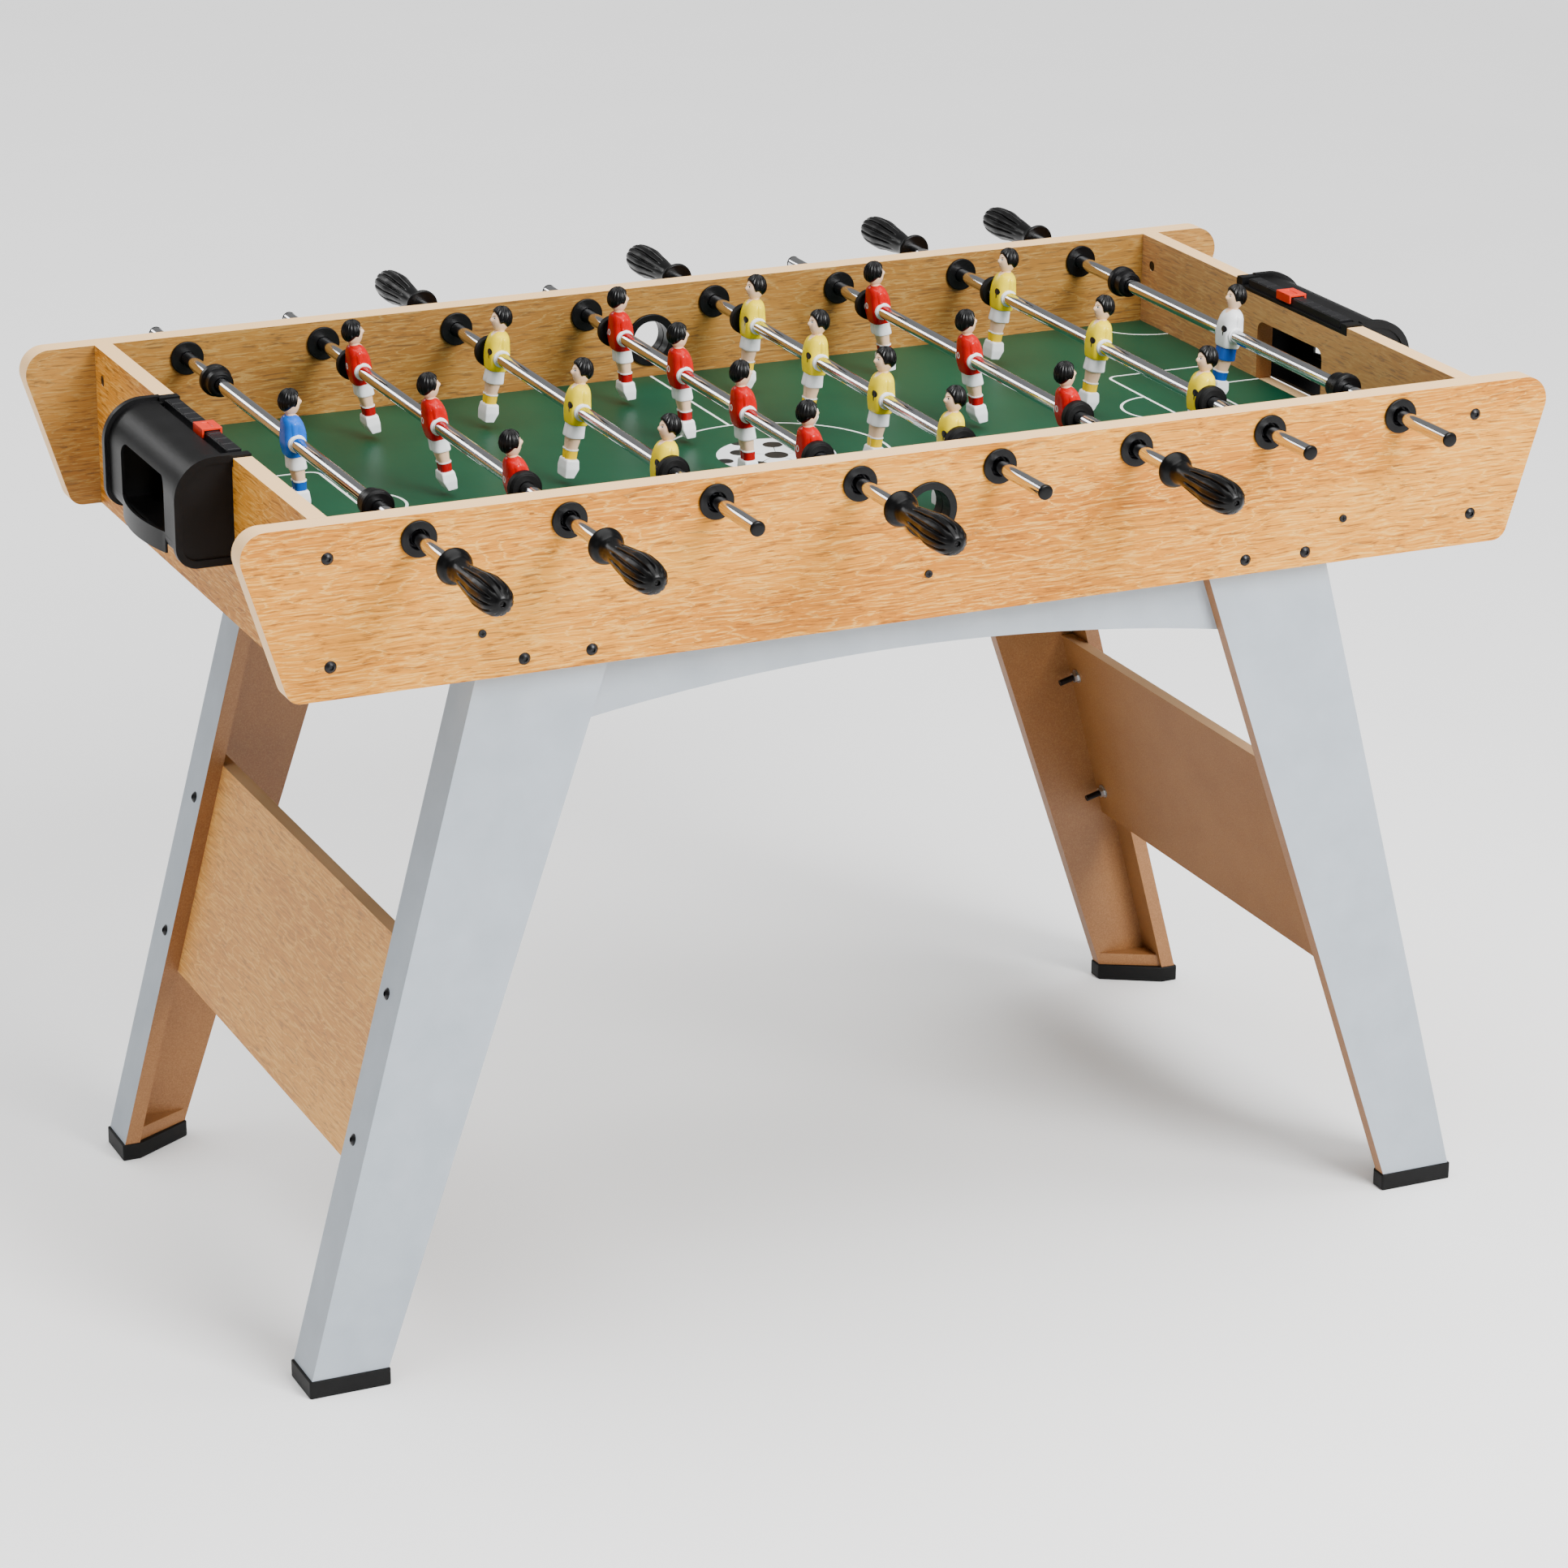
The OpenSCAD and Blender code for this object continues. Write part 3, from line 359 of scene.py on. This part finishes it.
def smooth_rows(keys, count):
    """Rows between key rows, by a Catmull-Rom spline through them, evenly spread over the keys."""
    keys = np.asarray(keys, float)
    t = np.linspace(0, len(keys) - 1, count)
    i = np.minimum(t.astype(int), len(keys) - 2)
    f = (t - i)[:, None]
    last = len(keys) - 1
    a, b, c, d = keys[np.maximum(i - 1, 0)], keys[i], keys[i + 1], keys[np.minimum(i + 2, last)]
    return 0.5 * (2 * b + (c - a) * f + (2 * a - 5 * b + 4 * c - d) * f ** 2
                  + (3 * b - 3 * c + d - a) * f ** 3)


def grid_faces(rows, columns):
    """Quads of a grid whose columns close into a ring, as index rows."""
    r, c = np.meshgrid(np.arange(rows - 1), np.arange(columns), indexing="ij")
    n = (c + 1) % columns
    quads = np.stack([r * columns + c, r * columns + n, (r + 1) * columns + n, (r + 1) * columns + c], -1)
    return quads.reshape(-1, 4)


def capped_rings(points):
    """(corners, faces) of rings (rows, columns, 3) with a middle point closing each end."""
    rows, columns, _ = points.shape
    middles = np.stack([points[0].mean(0), points[-1].mean(0)])
    corners = np.vstack([points.reshape(-1, 3), middles])
    side = grid_faces(rows, columns)
    c = np.arange(columns)
    n = (c + 1) % columns
    low, high = rows * columns, rows * columns + 1
    base = (rows - 1) * columns
    first = np.stack([np.full(columns, low), n, c, c], -1)
    final = np.stack([np.full(columns, high), base + c, base + n, base + n], -1)
    return corners, np.vstack([side, first, final])


def straight_rows(keys, count):
    """Rows between key rows along straight lines, with a row at each key."""
    keys = np.asarray(keys, float)
    t = np.unique(np.concatenate([np.linspace(0, len(keys) - 1, count), np.arange(len(keys))]))
    return np.column_stack([np.interp(t, np.arange(len(keys)), column) for column in keys.T])


def stack(keys, rows, columns, groove=0.0, between=smooth_rows):
    """Rings of rounded rectangles up Z, each |x/a|^n + |y/b|^n = 1 about its own middle.

    A key row is z, middle x, half depth a, half width b, exponent n. groove pulls the depth in near
    y = 0, by that share, as between two legs.
    """
    z, mid, a, b, n = between(keys, rows).T[:, :, None]
    turn = np.linspace(0, TURN, columns, endpoint=False)[None, :]
    cos, sin = np.cos(turn), np.sin(turn)
    x = a * np.sign(cos) * np.abs(cos) ** (2 / n)
    y = b * np.sign(sin) * np.abs(sin) ** (2 / n)
    x = x * (1 - groove * np.exp(-(y / 1.5) ** 2))
    return capped_rings(np.stack([mid + x, y, z + 0 * x], -1))


def turned_y(profile, columns=40):
    """A profile of (radius, y) rows turned about the Y axis."""
    r, y = np.asarray(profile, float).T[:, :, None]
    turn = np.linspace(0, TURN, columns, endpoint=False)[None, :]
    return capped_rings(np.stack([r * np.sin(turn), y + 0 * turn, r * np.cos(turn)], -1))


def joined(parts):
    """One set of corners, faces and face finishes from (corners, faces, finish) parts."""
    sizes = np.cumsum([0] + [len(p[0]) for p in parts[:-1]])
    corners = np.vstack([p[0] for p in parts])
    faces = np.vstack([p[1] + s for p, s in zip(parts, sizes)])
    finish = np.concatenate([np.full(len(p[1]), p[2]) for p in parts])
    return corners, faces, finish


def piece(name, corners, faces, finish, materials, body, replaced, place=None):
    """Makes an object from arrays in metres; triangles repeat their last corner in a row of four.

    body carries it, replaced are the CAD nodes that it stands for, and place is its own coordinates.
    """
    quads = [row if row[2] != row[3] else row[:3] for row in faces.tolist()]
    mesh = bpy.data.meshes.new(name)
    mesh.from_pydata(corners.tolist(), [], quads)
    for material in materials:
        mesh.materials.append(material)
    mesh.polygons.foreach_set("material_index", np.asarray(finish, np.int32))
    mesh.polygons.foreach_set("use_smooth", np.ones(len(quads), bool))
    if place is not None:
        spot = mesh.attributes.new("figure_place", "FLOAT_VECTOR", "POINT")
        spot.data.foreach_set("vector", place.astype(np.float32).ravel())
    mesh.update()
    made = bpy.data.objects.new(name, mesh)
    bpy.context.scene.collection.objects.link(made)
    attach(made, body)
    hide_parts(*replaced)


def dress(node, material, width=0.0, segments=2):
    """Gives a CAD node its material and, where a width in millimetres is given, eased sharp edges."""
    made = NODES[node]
    made.data.materials.clear()
    made.data.materials.append(material)
    if not width:
        return
    weld = made.modifiers.new("weld", "WELD")
    weld.merge_threshold = 0.005 * MM
    ease = made.modifiers.new("eased edges", "BEVEL")
    ease.width = width * MM
    ease.segments = segments
    ease.limit_method = "ANGLE"
    ease.angle_limit = math.radians(38)
    ease.use_clamp_overlap = True
    even = made.modifiers.new("even shading", "WEIGHTED_NORMAL")
    even.keep_sharp = False
    even.weight = 80


# ---------------------------------------------------------------- men

# Middle of a man's head and its half axes, in the figure's millimetres
HEAD = np.array([0.3, 0.0, 33.4])
HEAD_DEEP, HEAD_WIDE, HEAD_TALL = 8.4, 7.6, 11.5
RIDGES = 21


def head_surface(turn, tilt, grow):
    """A head: an ellipsoid 16.8 by 15.2 by 23 mm with a narrower jaw, a nose, brows, lips and a chin.

    turn goes round Z from the nose and tilt down from the crown; grow lifts the surface outwards.
    """
    x = (HEAD_DEEP + grow) * np.sin(tilt) * np.cos(turn)
    y = (HEAD_WIDE + grow) * np.sin(tilt) * np.sin(turn)
    z = (HEAD_TALL + grow) * np.cos(tilt) + 0 * turn
    jaw = np.clip(-z / HEAD_TALL, 0, 1)
    x, y = x * (1 - 0.16 * jaw ** 2), y * (1 - 0.30 * jaw ** 1.5)
    front = np.clip(np.cos(turn), 0, 1) * np.sin(tilt)
    nose = 2.0 * np.exp(-(y / 1.15) ** 2) * np.exp(-((z + 0.6) / 2.0) ** 2)
    nose = nose + 0.8 * np.exp(-(y / 0.8) ** 2) * np.exp(-((z - 1.4) / 1.8) ** 2)
    brow = 0.55 * np.exp(-(y / 4.4) ** 4) * np.exp(-((z - 3.6) / 1.1) ** 2)
    socket = -0.8 * np.exp(-((np.abs(y) - 2.6) / 1.3) ** 2) * np.exp(-((z - 1.7) / 1.2) ** 2)
    lips = 0.55 * np.exp(-(y / 1.9) ** 2) * np.exp(-((z + 4.9) / 0.9) ** 2)
    chin = 0.7 * np.exp(-(y / 2.2) ** 2) * np.exp(-((z + 8.2) / 1.5) ** 2)
    x = x + front * (nose + brow + socket + lips + chin)
    return np.stack([x, y, z], -1) + HEAD


def face_part():
    """The whole head from crown to chin."""
    turn = np.linspace(0, TURN, 56, endpoint=False)[None, :]
    tilt = np.linspace(0.05, math.pi - 0.05, 46)[:, None]
    return capped_rings(head_surface(turn, tilt, 0.0)[::-1])


def hair_part():
    """A cap over the head, combed back in ridges; its hem is high at the brow and low at the nape."""
    turn = np.linspace(0, TURN, 132, endpoint=False)[None, :]
    share = np.linspace(0.0, 1.0, 30)[:, None]
    ahead = 0.5 + 0.5 * np.cos(turn)
    temple = np.exp(-((np.abs(np.angle(np.exp(1j * turn))) - 1.25) / 0.22) ** 2)
    hem = 2.15 - 1.22 * ahead ** 1.4 + 0.30 * temple
    tilt = 0.04 + share * hem
    wave = RIDGES * turn + 6 * share + 1.4 * np.sin(2 * turn)
    comb = 0.34 * (1 - 2 * np.abs(np.sin(wave / 2))) * np.sin(math.pi * share) ** 0.5
    fringe = 0.6 * ahead * np.exp(-((share - 0.85) / 0.12) ** 2)
    grow = (1.5 + comb + fringe) * (1 - share ** 9) - 0.5 * share ** 9
    grow = grow + 1.0 * (1 - ahead) * np.sin(math.pi * np.clip(share, 0, 1))
    return capped_rings(head_surface(turn, tilt, grow)[::-1])


def limb(path, radius, rows=14, columns=16):
    """A round limb along key points (x, y, z) with key radii, its rings level."""
    keys = smooth_rows(np.column_stack([path, radius]), rows)
    x, y, z, r = keys.T[:, :, None]
    turn = np.linspace(0, TURN, columns, endpoint=False)[None, :]
    return capped_rings(np.stack([x + r * np.cos(turn), y + r * 0.9 * np.sin(turn), z + 0 * turn], -1))


def figure_parts():
    """One man in millimetres, facing +X, with the rod along Y at the origin.

    Each part is (corners, faces, finish): 0 shirt, 1 trim, 2 shorts, 3 skin, 4 socks, 5 boots, 6 hair.
    """
    shirt = stack([
        [-12.6, 0.3, 7.6, 10.2, 3.6], [-12.0, 0.3, 8.4, 11.0, 4.0], [-7.0, 0.2, 9.3, 11.6, 4.6],
        [-1.0, 0.2, 9.9, 11.9, 5.0], [5.0, 0.5, 9.9, 11.9, 4.4], [11.0, 0.6, 9.6, 12.2, 3.2],
        [16.0, 0.2, 8.8, 12.2, 2.7], [19.6, -0.2, 7.6, 10.8, 2.4], [21.8, -0.5, 6.2, 8.0, 2.1],
        [23.2, -0.5, 4.8, 5.4, 2.0],
    ], 44, 64)
    shorts = stack([
        [-24.2, 1.2, 7.4, 10.2, 3.2], [-23.4, 1.2, 8.0, 10.8, 3.4], [-17.0, 0.8, 7.8, 10.4, 3.2],
        [-11.0, 0.3, 7.6, 10.2, 3.0], [-8.0, 0.0, 7.0, 9.4, 2.6],
    ], 22, 64, 0.10)
    legs = stack([
        [-37.0, 2.5, 4.8, 7.4, 2.8], [-33.0, 2.2, 5.2, 7.8, 2.7], [-28.0, 1.7, 5.9, 8.4, 2.6],
        [-22.0, 1.2, 6.4, 9.0, 2.6],
    ], 14, 48, 0.24)
    socks = stack([
        [-46.5, 2.6, 5.2, 7.2, 2.9], [-42.0, 2.6, 5.5, 7.6, 2.9], [-37.0, 2.5, 5.7, 8.0, 2.8],
        [-35.4, 2.4, 5.8, 8.1, 2.8], [-34.8, 2.4, 5.4, 7.7, 2.8],
    ], 16, 48, 0.16)
    cuff = stack([
        [-36.0, 2.4, 5.9, 8.2, 2.8], [-35.4, 2.4, 6.1, 8.4, 2.8], [-34.8, 2.4, 5.9, 8.2, 2.8],
    ], 7, 48, 0.15)
    boots = stack([
        [-60.3, 4.0, 4.0, 9.0, 14.0], [-59.7, 4.0, 4.5, 9.6, 14.0], [-59.2, 4.0, 4.6, 9.7, 14.0],
        [-52.2, 2.6, 6.4, 10.4, 14.0], [-51.2, 2.5, 6.5, 10.3, 14.0], [-45.4, 2.4, 6.2, 9.0, 12.0],
        [-44.2, 2.4, 5.8, 8.5, 12.0], [-43.6, 2.4, 5.0, 7.6, 12.0],
    ], 24, 64, 0.0, straight_rows)
    hub = turned_y([
        [6.6, -HUB_HALF], [7.3, -HUB_HALF], [7.8, -13.1], [8.0, -12.5], [8.1, -11.4], [8.1, 11.4],
        [8.0, 12.5], [7.8, 13.1], [7.3, HUB_HALF], [6.6, HUB_HALF],
    ], 48)
    neck = stack([
        [19.0, -0.4, 4.6, 4.9, 2.0], [24.0, -0.3, 4.0, 4.1, 2.0], [28.0, 0.0, 4.2, 4.1, 2.0],
    ], 8, 32)
    parts = [(*shirt, 0), (*shorts, 2), (*legs, 3), (*socks, 4), (*cuff, 1), (*boots, 5), (*hub, 1),
             (*neck, 3), (*face_part(), 3), (*hair_part(), 6)]
    for s in (-1, 1):
        shoulder = np.array([
            [-1.6, s * 10.0, 6.0], [-1.2, s * 10.2, 12.0], [-0.9, s * 9.4, 17.6], [-0.6, s * 7.8, 20.6],
        ])
        arm = limb(shoulder, np.array([3.2, 3.5, 3.7, 2.4]))
        ear = limb(np.array([[-0.9, s * 6.7, 31.0], [-1.0, s * 7.2, 33.0], [-1.2, s * 6.9, 35.2]]),
                   np.array([0.6, 1.3, 0.8]), 8, 12)
        parts += [(*arm, 0), (*ear, 3)]
    return joined(parts)


# ---------------------------------------------------------------- grips

def grip_surface(length, flange, belly):
    """A grip up Z: a domed flange, a neck, then a belly with flutes and a round end.

    The radius is the profile's, less the flute depth times a narrow cosine of the number of flutes times
    the turn, faded in and out along the belly. An oval patch 15 mm wide is left smooth.
    """
    profile = smooth_rows([
        [flange - 2.6, 0.0], [flange - 0.8, 0.2], [flange, 1.6], [flange - 0.3, 3.6], [flange - 2.2, 7.4],
        [flange - 5.0, 10.6], [9.6, 14.0], [9.0, 18.0], [9.3, 24.0], [10.4, 34.0], [11.8, 46.0],
        [13.0, 58.0], [belly, 70.0], [belly, 80.0], [belly - 0.5, 90.0], [belly - 1.9, 98.0],
        [belly - 4.6, length - 4.6], [belly - 8.2, length - 1.2], [4.4, length - 0.1], [2.6, length],
        [2.2, length - 0.6], [1.8, length - 2.6],
    ], 104)
    radius, rise = profile[:, :1], profile[:, 1:]
    turn = np.linspace(0, TURN, 192, endpoint=False)[None, :]
    flute = np.clip(np.cos(FLUTES * turn), 0, 1) ** 2.2
    span = 1 / (1 + np.exp(-(rise - 38) / 2.2)) / (1 + np.exp((rise - length + 6.5) / 1.4))
    off = np.angle(np.exp(1j * (turn - 0.9)))
    patch = 1 / (1 + np.exp(-(((off / 0.52) ** 2 + ((rise - 70) / 17) ** 2) - 1) * 9))
    radius = radius - FLUTE_DEPTH * flute * span * patch
    return np.stack([radius * np.cos(turn), radius * np.sin(turn), rise + 0 * turn], -1)


# ---------------------------------------------------------------- finishes

# Oak printed on melamine paper and pressed on chipboard: a sharp flat figure under an even satin sheen. On
# the faces towards the field, a dark mix is painted shade on the panels and a pale mix is painted light on
# the end walls
OAK_PANEL = oak_board("oak melamine, grain along the table", 0, 1, (0.46, "2E4A3C"))
OAK_WALL = oak_board("oak melamine, grain across the table", 1, 0, (0.2, "FFE4C4"), cut_edges=True)
# The same paper on the outer face of thinner fibreboard, mixed a little paler as painted light on that face
OAK_RAIL = stretcher_board("oak faced fibreboard")
# Painted foil laminated on fibreboard: cool grey, nearly even, with a dull sheen
GREY_LEG = grey_board("grey foil on fibreboard")
# Fibreboard as sawn: dry, matt and brown, with short fibres
RAW = raw_board("raw fibreboard")
# Ink screen printed on hardboard: dark green with crisp white lines and a soft sheen
FIELD = pitch_print("screen printed hardboard")
# Polypropylene from a grained mould: soft broad highlights
GOAL_PLASTIC = plastic("moulded black polypropylene", "070707", "0F0F10", 0.9, 0.42)
# Nylon from a finer mould: tighter highlights round the flanges
BUSH_PLASTIC = plastic("moulded black nylon", "050506", "09090A", 0.6, 0.34)
# Hard plastic from a polished mould: near black, with long highlights along the flutes
GRIP_PLASTIC = plastic("glossy black grip", "030303", "060607", 0.8, 0.3, 0.05)
# Moulded rubber: matt, with hardly a highlight
RUBBER = plastic("black rubber", "060606", "0E0E0E", 1.2, 0.55)
# ABS from a smooth mould: dark grey, with a low sheen
SCORE_GREY = plastic("dark grey score tiles", "111113", "1A1A1C", 0.7, 0.4)
# The same ABS dyed orange red, and shinier where it is slid
SCORE_RED = plastic("red score slider", "D62A12", "E63A1E", 0.7, 0.3)
# Drawn steel tube, chrome plated and polished: streaks of all that is round it
ROD_STEEL = metal("polished chrome tube", "D4D5D7", 0.09)
# Zinc plating: pale, with blurred reflections
ZINC = metal("zinc plated steel", "BFC2C4", 0.35)
# Black oxide on steel: dark, with a dull metal glint
BLACK_BOLT = metal("black oxide bolt", "1A1A1C", 0.34, metallic=0.6)

# Enamel sprayed on moulded plastic men: full colour under small bright highlights, with printed marks
EYE, BROW, LIP = "1B1512", "3A281E", "D88C7C"
SKIN = figure_paint("skin enamel", "F8D0AC", [
    ("FFFFFF", (8.0, 2.6, 35.2), (4.0, 1.4, 0.85)), ("FFFFFF", (8.0, -2.6, 35.2), (4.0, 1.4, 0.85)),
    (EYE, (8.0, 2.6, 35.2), (4.0, 0.65, 0.75)), (EYE, (8.0, -2.6, 35.2), (4.0, 0.65, 0.75)),
    (BROW, (8.0, 2.9, 37.4), (4.0, 1.6, 0.32)), (BROW, (8.0, -2.9, 37.4), (4.0, 1.6, 0.32)),
    (LIP, (9.0, 0.0, 28.6), (4.0, 1.7, 0.5)),
])
HAIR = figure_paint("black enamel hair", "030304", gloss=0.3)
WHITE = figure_paint("white enamel", "F6F8FA")
NECKLINE = ("F8D0AC", (5.0, 0.0, 24.5), (6.0, 3.6, 6.2))
BADGE = [("1E2126", (8.6, 5.6, 5.0), (5.0, 4.4, 3.3)), ("1E2126", (8.6, 5.0, 1.4), (5.0, 1.1, 3.2))]
ROUNDEL = [("F4F4F4", (-9.0, 3.4, 4.0), (5.0, 3.0, 3.0)), ("B8161B", (-9.0, 3.4, 4.0), (5.0, 1.3, 2.0))]
BLUE = figure_paint("blue enamel", "0468DC", [NECKLINE])
RED = figure_paint("red enamel", "C80006", [NECKLINE, *ROUNDEL])
YELLOW = figure_paint("yellow enamel", "FFE200", [NECKLINE, *BADGE])
WHITE_SHIRT = figure_paint("white enamel with badge", "F6F8FA", [NECKLINE, *BADGE])
DARK_RED = figure_paint("dark red enamel", "A8060C")
ROYAL = figure_paint("royal blue enamel", "0852AE")
GOLD = figure_paint("yellow enamel socks", "FFD200")

# Each rod: shirt, shorts, socks, the way its men face and their lean at rest in degrees, how many, slot
RODS = [
    (BLUE, WHITE, ROYAL, 0, 3.0, 1, "men_blue"), (RED, WHITE, DARK_RED, 0, 8.0, 3, "men_red"),
    (YELLOW, WHITE, GOLD, 180, 7.5, 3, "men_yellow"), (RED, WHITE, DARK_RED, 0, 3.0, 4, "men_red"),
    (YELLOW, WHITE, GOLD, 180, 5.0, 4, "men_yellow"), (RED, WHITE, DARK_RED, 0, 6.5, 3, "men_red"),
    (YELLOW, WHITE, GOLD, 180, 7.5, 3, "men_yellow"), (WHITE_SHIRT, ROYAL, ROYAL, 180, 9.0, 1, "men_white"),
]
FRONT_GRIPS = (1, 2, 4, 6)


# ---------------------------------------------------------------- cabinet

# CAD nodes: their names, material, and the width in millimetres and steps of their eased edges
for names, material, *ease in (
    ("front_panel rear_panel", OAK_PANEL, 0.7), ("left_end_wall right_end_wall", OAK_WALL, 0.5),
    ("left_stretcher right_stretcher", OAK_RAIL),
    ("front_left_leg front_right_leg rear_left_leg rear_right_leg", GREY_LEG, 0.7),
    ("front_apron rear_apron", GREY_LEG), ("playfield", FIELD), ("field_battens", RAW, 0.5),
    ("rubber_feet", RUBBER, 1.8, 3), ("left_goal_box right_goal_box", GOAL_PLASTIC, 1.2, 3),
    ("scoring_bars", SCORE_GREY, 0.3), ("left_score_slider right_score_slider", SCORE_RED, 0.6),
    ("ball_entries rod_bushes bush_nuts", BUSH_PLASTIC, 0.9, 3),
    ("panel_bolts barrel_nuts stretcher_bolts field_screws", BLACK_BOLT), ("hex_nuts", ZINC),
):
    for node in names.split():
        dress(node, material, *ease)


# ---------------------------------------------------------------- rods

def rod_axis(rod):
    """X and Z of a rod's middle line."""
    low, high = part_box(f"rod_{rod}")
    return (low[0] + high[0]) / 2, (low[2] + high[2]) / 2


def men_on(rod, shirt, shorts, socks, facing, lean, count, slot):
    """A rod's men, turned to face along the table, leant about the rod and spread over the CAD men's box."""
    axis_x, axis_z = rod_axis(rod)
    low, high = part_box(f"men_{rod}")
    places = np.linspace(low[1] + HUB_HALF * MM, high[1] - HUB_HALF * MM, count)
    corners, faces, finish = MAN
    turn = Matrix.Rotation(math.radians(facing), 3, "Z") @ Matrix.Rotation(math.radians(-lean), 3, "Y")
    stood = corners @ np.array(turn).T * MM
    piece(
        f"rod_{rod}_men", np.vstack([stood + np.array([axis_x, y, axis_z]) for y in places]),
        np.vstack([faces + k * len(corners) for k in range(count)]), np.tile(finish, count),
        [shirt, WHITE, shorts, SKIN, socks, WHITE, HAIR], f"spin_{rod}", [f"men_{rod}"],
        np.tile(corners, (count, 1)),
    )


def grip_on(rod):
    """A rod's grip at one end and its domed plug cap at the other, both along the rod."""
    axis_x, axis_z = rod_axis(rod)
    low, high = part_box(f"handle_{rod}")
    side = -1 if rod in FRONT_GRIPS else 1
    grip_end, cap_end = (low[1], high[1]) if side < 0 else (high[1], low[1])
    x, y, z = np.moveaxis(GRIP, -1, 0)
    grip = np.stack([axis_x + x, grip_end - side * (GRIP_LENGTH * MM - z), axis_z + side * y], -1)
    grip_corners, grip_faces = capped_rings(grip)
    cap_corners, cap_faces = CAP
    cap_place = np.array([axis_x, cap_end + side * CAP_DOME * MM, axis_z])
    cap_corners = cap_corners * np.array([1, -side, 1]) + cap_place
    if side < 0:
        grip_faces = grip_faces[:, ::-1]
    else:
        cap_faces = cap_faces[:, ::-1]
    corners, faces, finish = joined([(grip_corners, grip_faces, 0), (cap_corners, cap_faces, 0)])
    piece(f"handle_{rod}_grip_and_cap", corners, faces, finish, [GRIP_PLASTIC], f"spin_{rod}",
          [f"handle_{rod}"])


MAN = figure_parts()
GRIP = grip_surface(GRIP_LENGTH, GRIP_FLANGE, GRIP_BELLY) * MM
CAP = turned_y(np.array([
    [4.2, -12], [5.0, -12], [5.1, 0], [6.4, 0.02], [6.62, 0.3], [6.62, 1.6], [6.3, 2.3], [5.2, 2.75],
    [3.0, 2.95], [1.0, 3.0],
]) * MM, 40)

for rod, kit in enumerate(RODS, 1):
    dress(f"rod_{rod}", ROD_STEEL)
    goalkeeper = kit[5] == 1
    dress(f"stops_{rod}", BUSH_PLASTIC if goalkeeper else RUBBER, 1.2, 3)
    men_on(rod, *kit)
    grip_on(rod)


# ---------------------------------------------------------------- stage

# Soft boxes: name, width and height in metres, watts, place, and the point they are turned to
for name, size, power, spot, aim in (
    ("front soft box", (1.7, 1.7), 262, (1.0, -3.1, 2.8), (0, 0, 0.5)),
    ("right soft box", (1.4, 1.4), 30, (3.2, -1.6, 2.2), (0, 0, 0.6)),
    ("left fill", (1.8, 1.8), 5, (-3.6, -1.8, 1.7), (0, 0, 0.6)),
    ("rear strip", (0.8, 1.5), 22, (-1.7, 4.2, 2.4), (0, 0, 0.8)),
):
    light = bpy.data.lights.new(name, "AREA")
    light.shape = "RECTANGLE"
    light.size, light.size_y = size
    light.energy = power
    lamp = bpy.data.objects.new(name, light)
    bpy.context.scene.collection.objects.link(lamp)
    lamp.location = spot
    lamp.rotation_mode = "QUATERNION"
    lamp.rotation_quaternion = (Vector(spot) - Vector(aim)).to_track_quat("Z", "Y")

# An even light from above, as from a wide diffuser, and a weak one from all round
sky = bpy.data.lights.new("sky light", "SUN")
sky.energy = 4.0
sky.angle = math.radians(70)
bpy.context.scene.collection.objects.link(bpy.data.objects.new("sky light", sky))

world = bpy.data.worlds.new("studio")
bpy.context.scene.world = world
world.use_nodes = True
world.node_tree.nodes["Background"].inputs[0].default_value = (1, 1, 1, 1)
world.node_tree.nodes["Background"].inputs[1].default_value = 0.26

# Matt painted studio floor: near white, with faint clouds 333 mm across
FLOOR_CORNERS = [(-30, -30, 0), (30, -30, 0), (30, 30, 0), (-30, 30, 0)]
floor_mesh = bpy.data.meshes.new("floor")
floor_mesh.from_pydata(FLOOR_CORNERS, [], [(0, 1, 2, 3)])
floor_piece = bpy.data.objects.new("floor", floor_mesh)
bpy.context.scene.collection.objects.link(floor_piece)
FLOOR, floor_tree, floor_shader = start("pale studio floor", Roughness=0.9)
cloud = add(floor_tree, NOISE, add(floor_tree, COORDS, out=OBJECT), None, 1 / (333 * MM), 2.0, 0.5)
add(floor_tree, RAMP, cloud, stops=((0.3, "F8F8F8"), (0.7, "FAFAFA")), to=floor_shader.inputs["Base Color"])
floor_mesh.materials.append(FLOOR)

# Camera: 24.3 degrees to the left, 20 degrees above, with a 114 mm lens on a 36 mm sensor
camera = bpy.data.cameras.new("camera")
camera.sensor_width = 36
camera.lens = 113.7
viewer = bpy.data.objects.new("camera", camera)
bpy.context.scene.collection.objects.link(viewer)
turned, raised, roll = math.radians(-24.32), math.radians(20.01), math.radians(0.24)
right = np.array([math.cos(turned), math.sin(turned), 0])
ahead = np.array([math.sin(turned), -math.cos(turned), 0])
back = ahead * math.cos(raised) + np.array([0, 0, math.sin(raised)])
level = math.cos(roll) * right + math.sin(roll) * np.cross(back, right)
stand = np.eye(4)
stand[:3, :3] = np.stack([level, np.cross(back, level), back], 1)
stand[:3, 3] = (-1.750, -3.8915, 1.9308)
viewer.matrix_world = Matrix(stand.tolist())
bpy.context.scene.camera = viewer
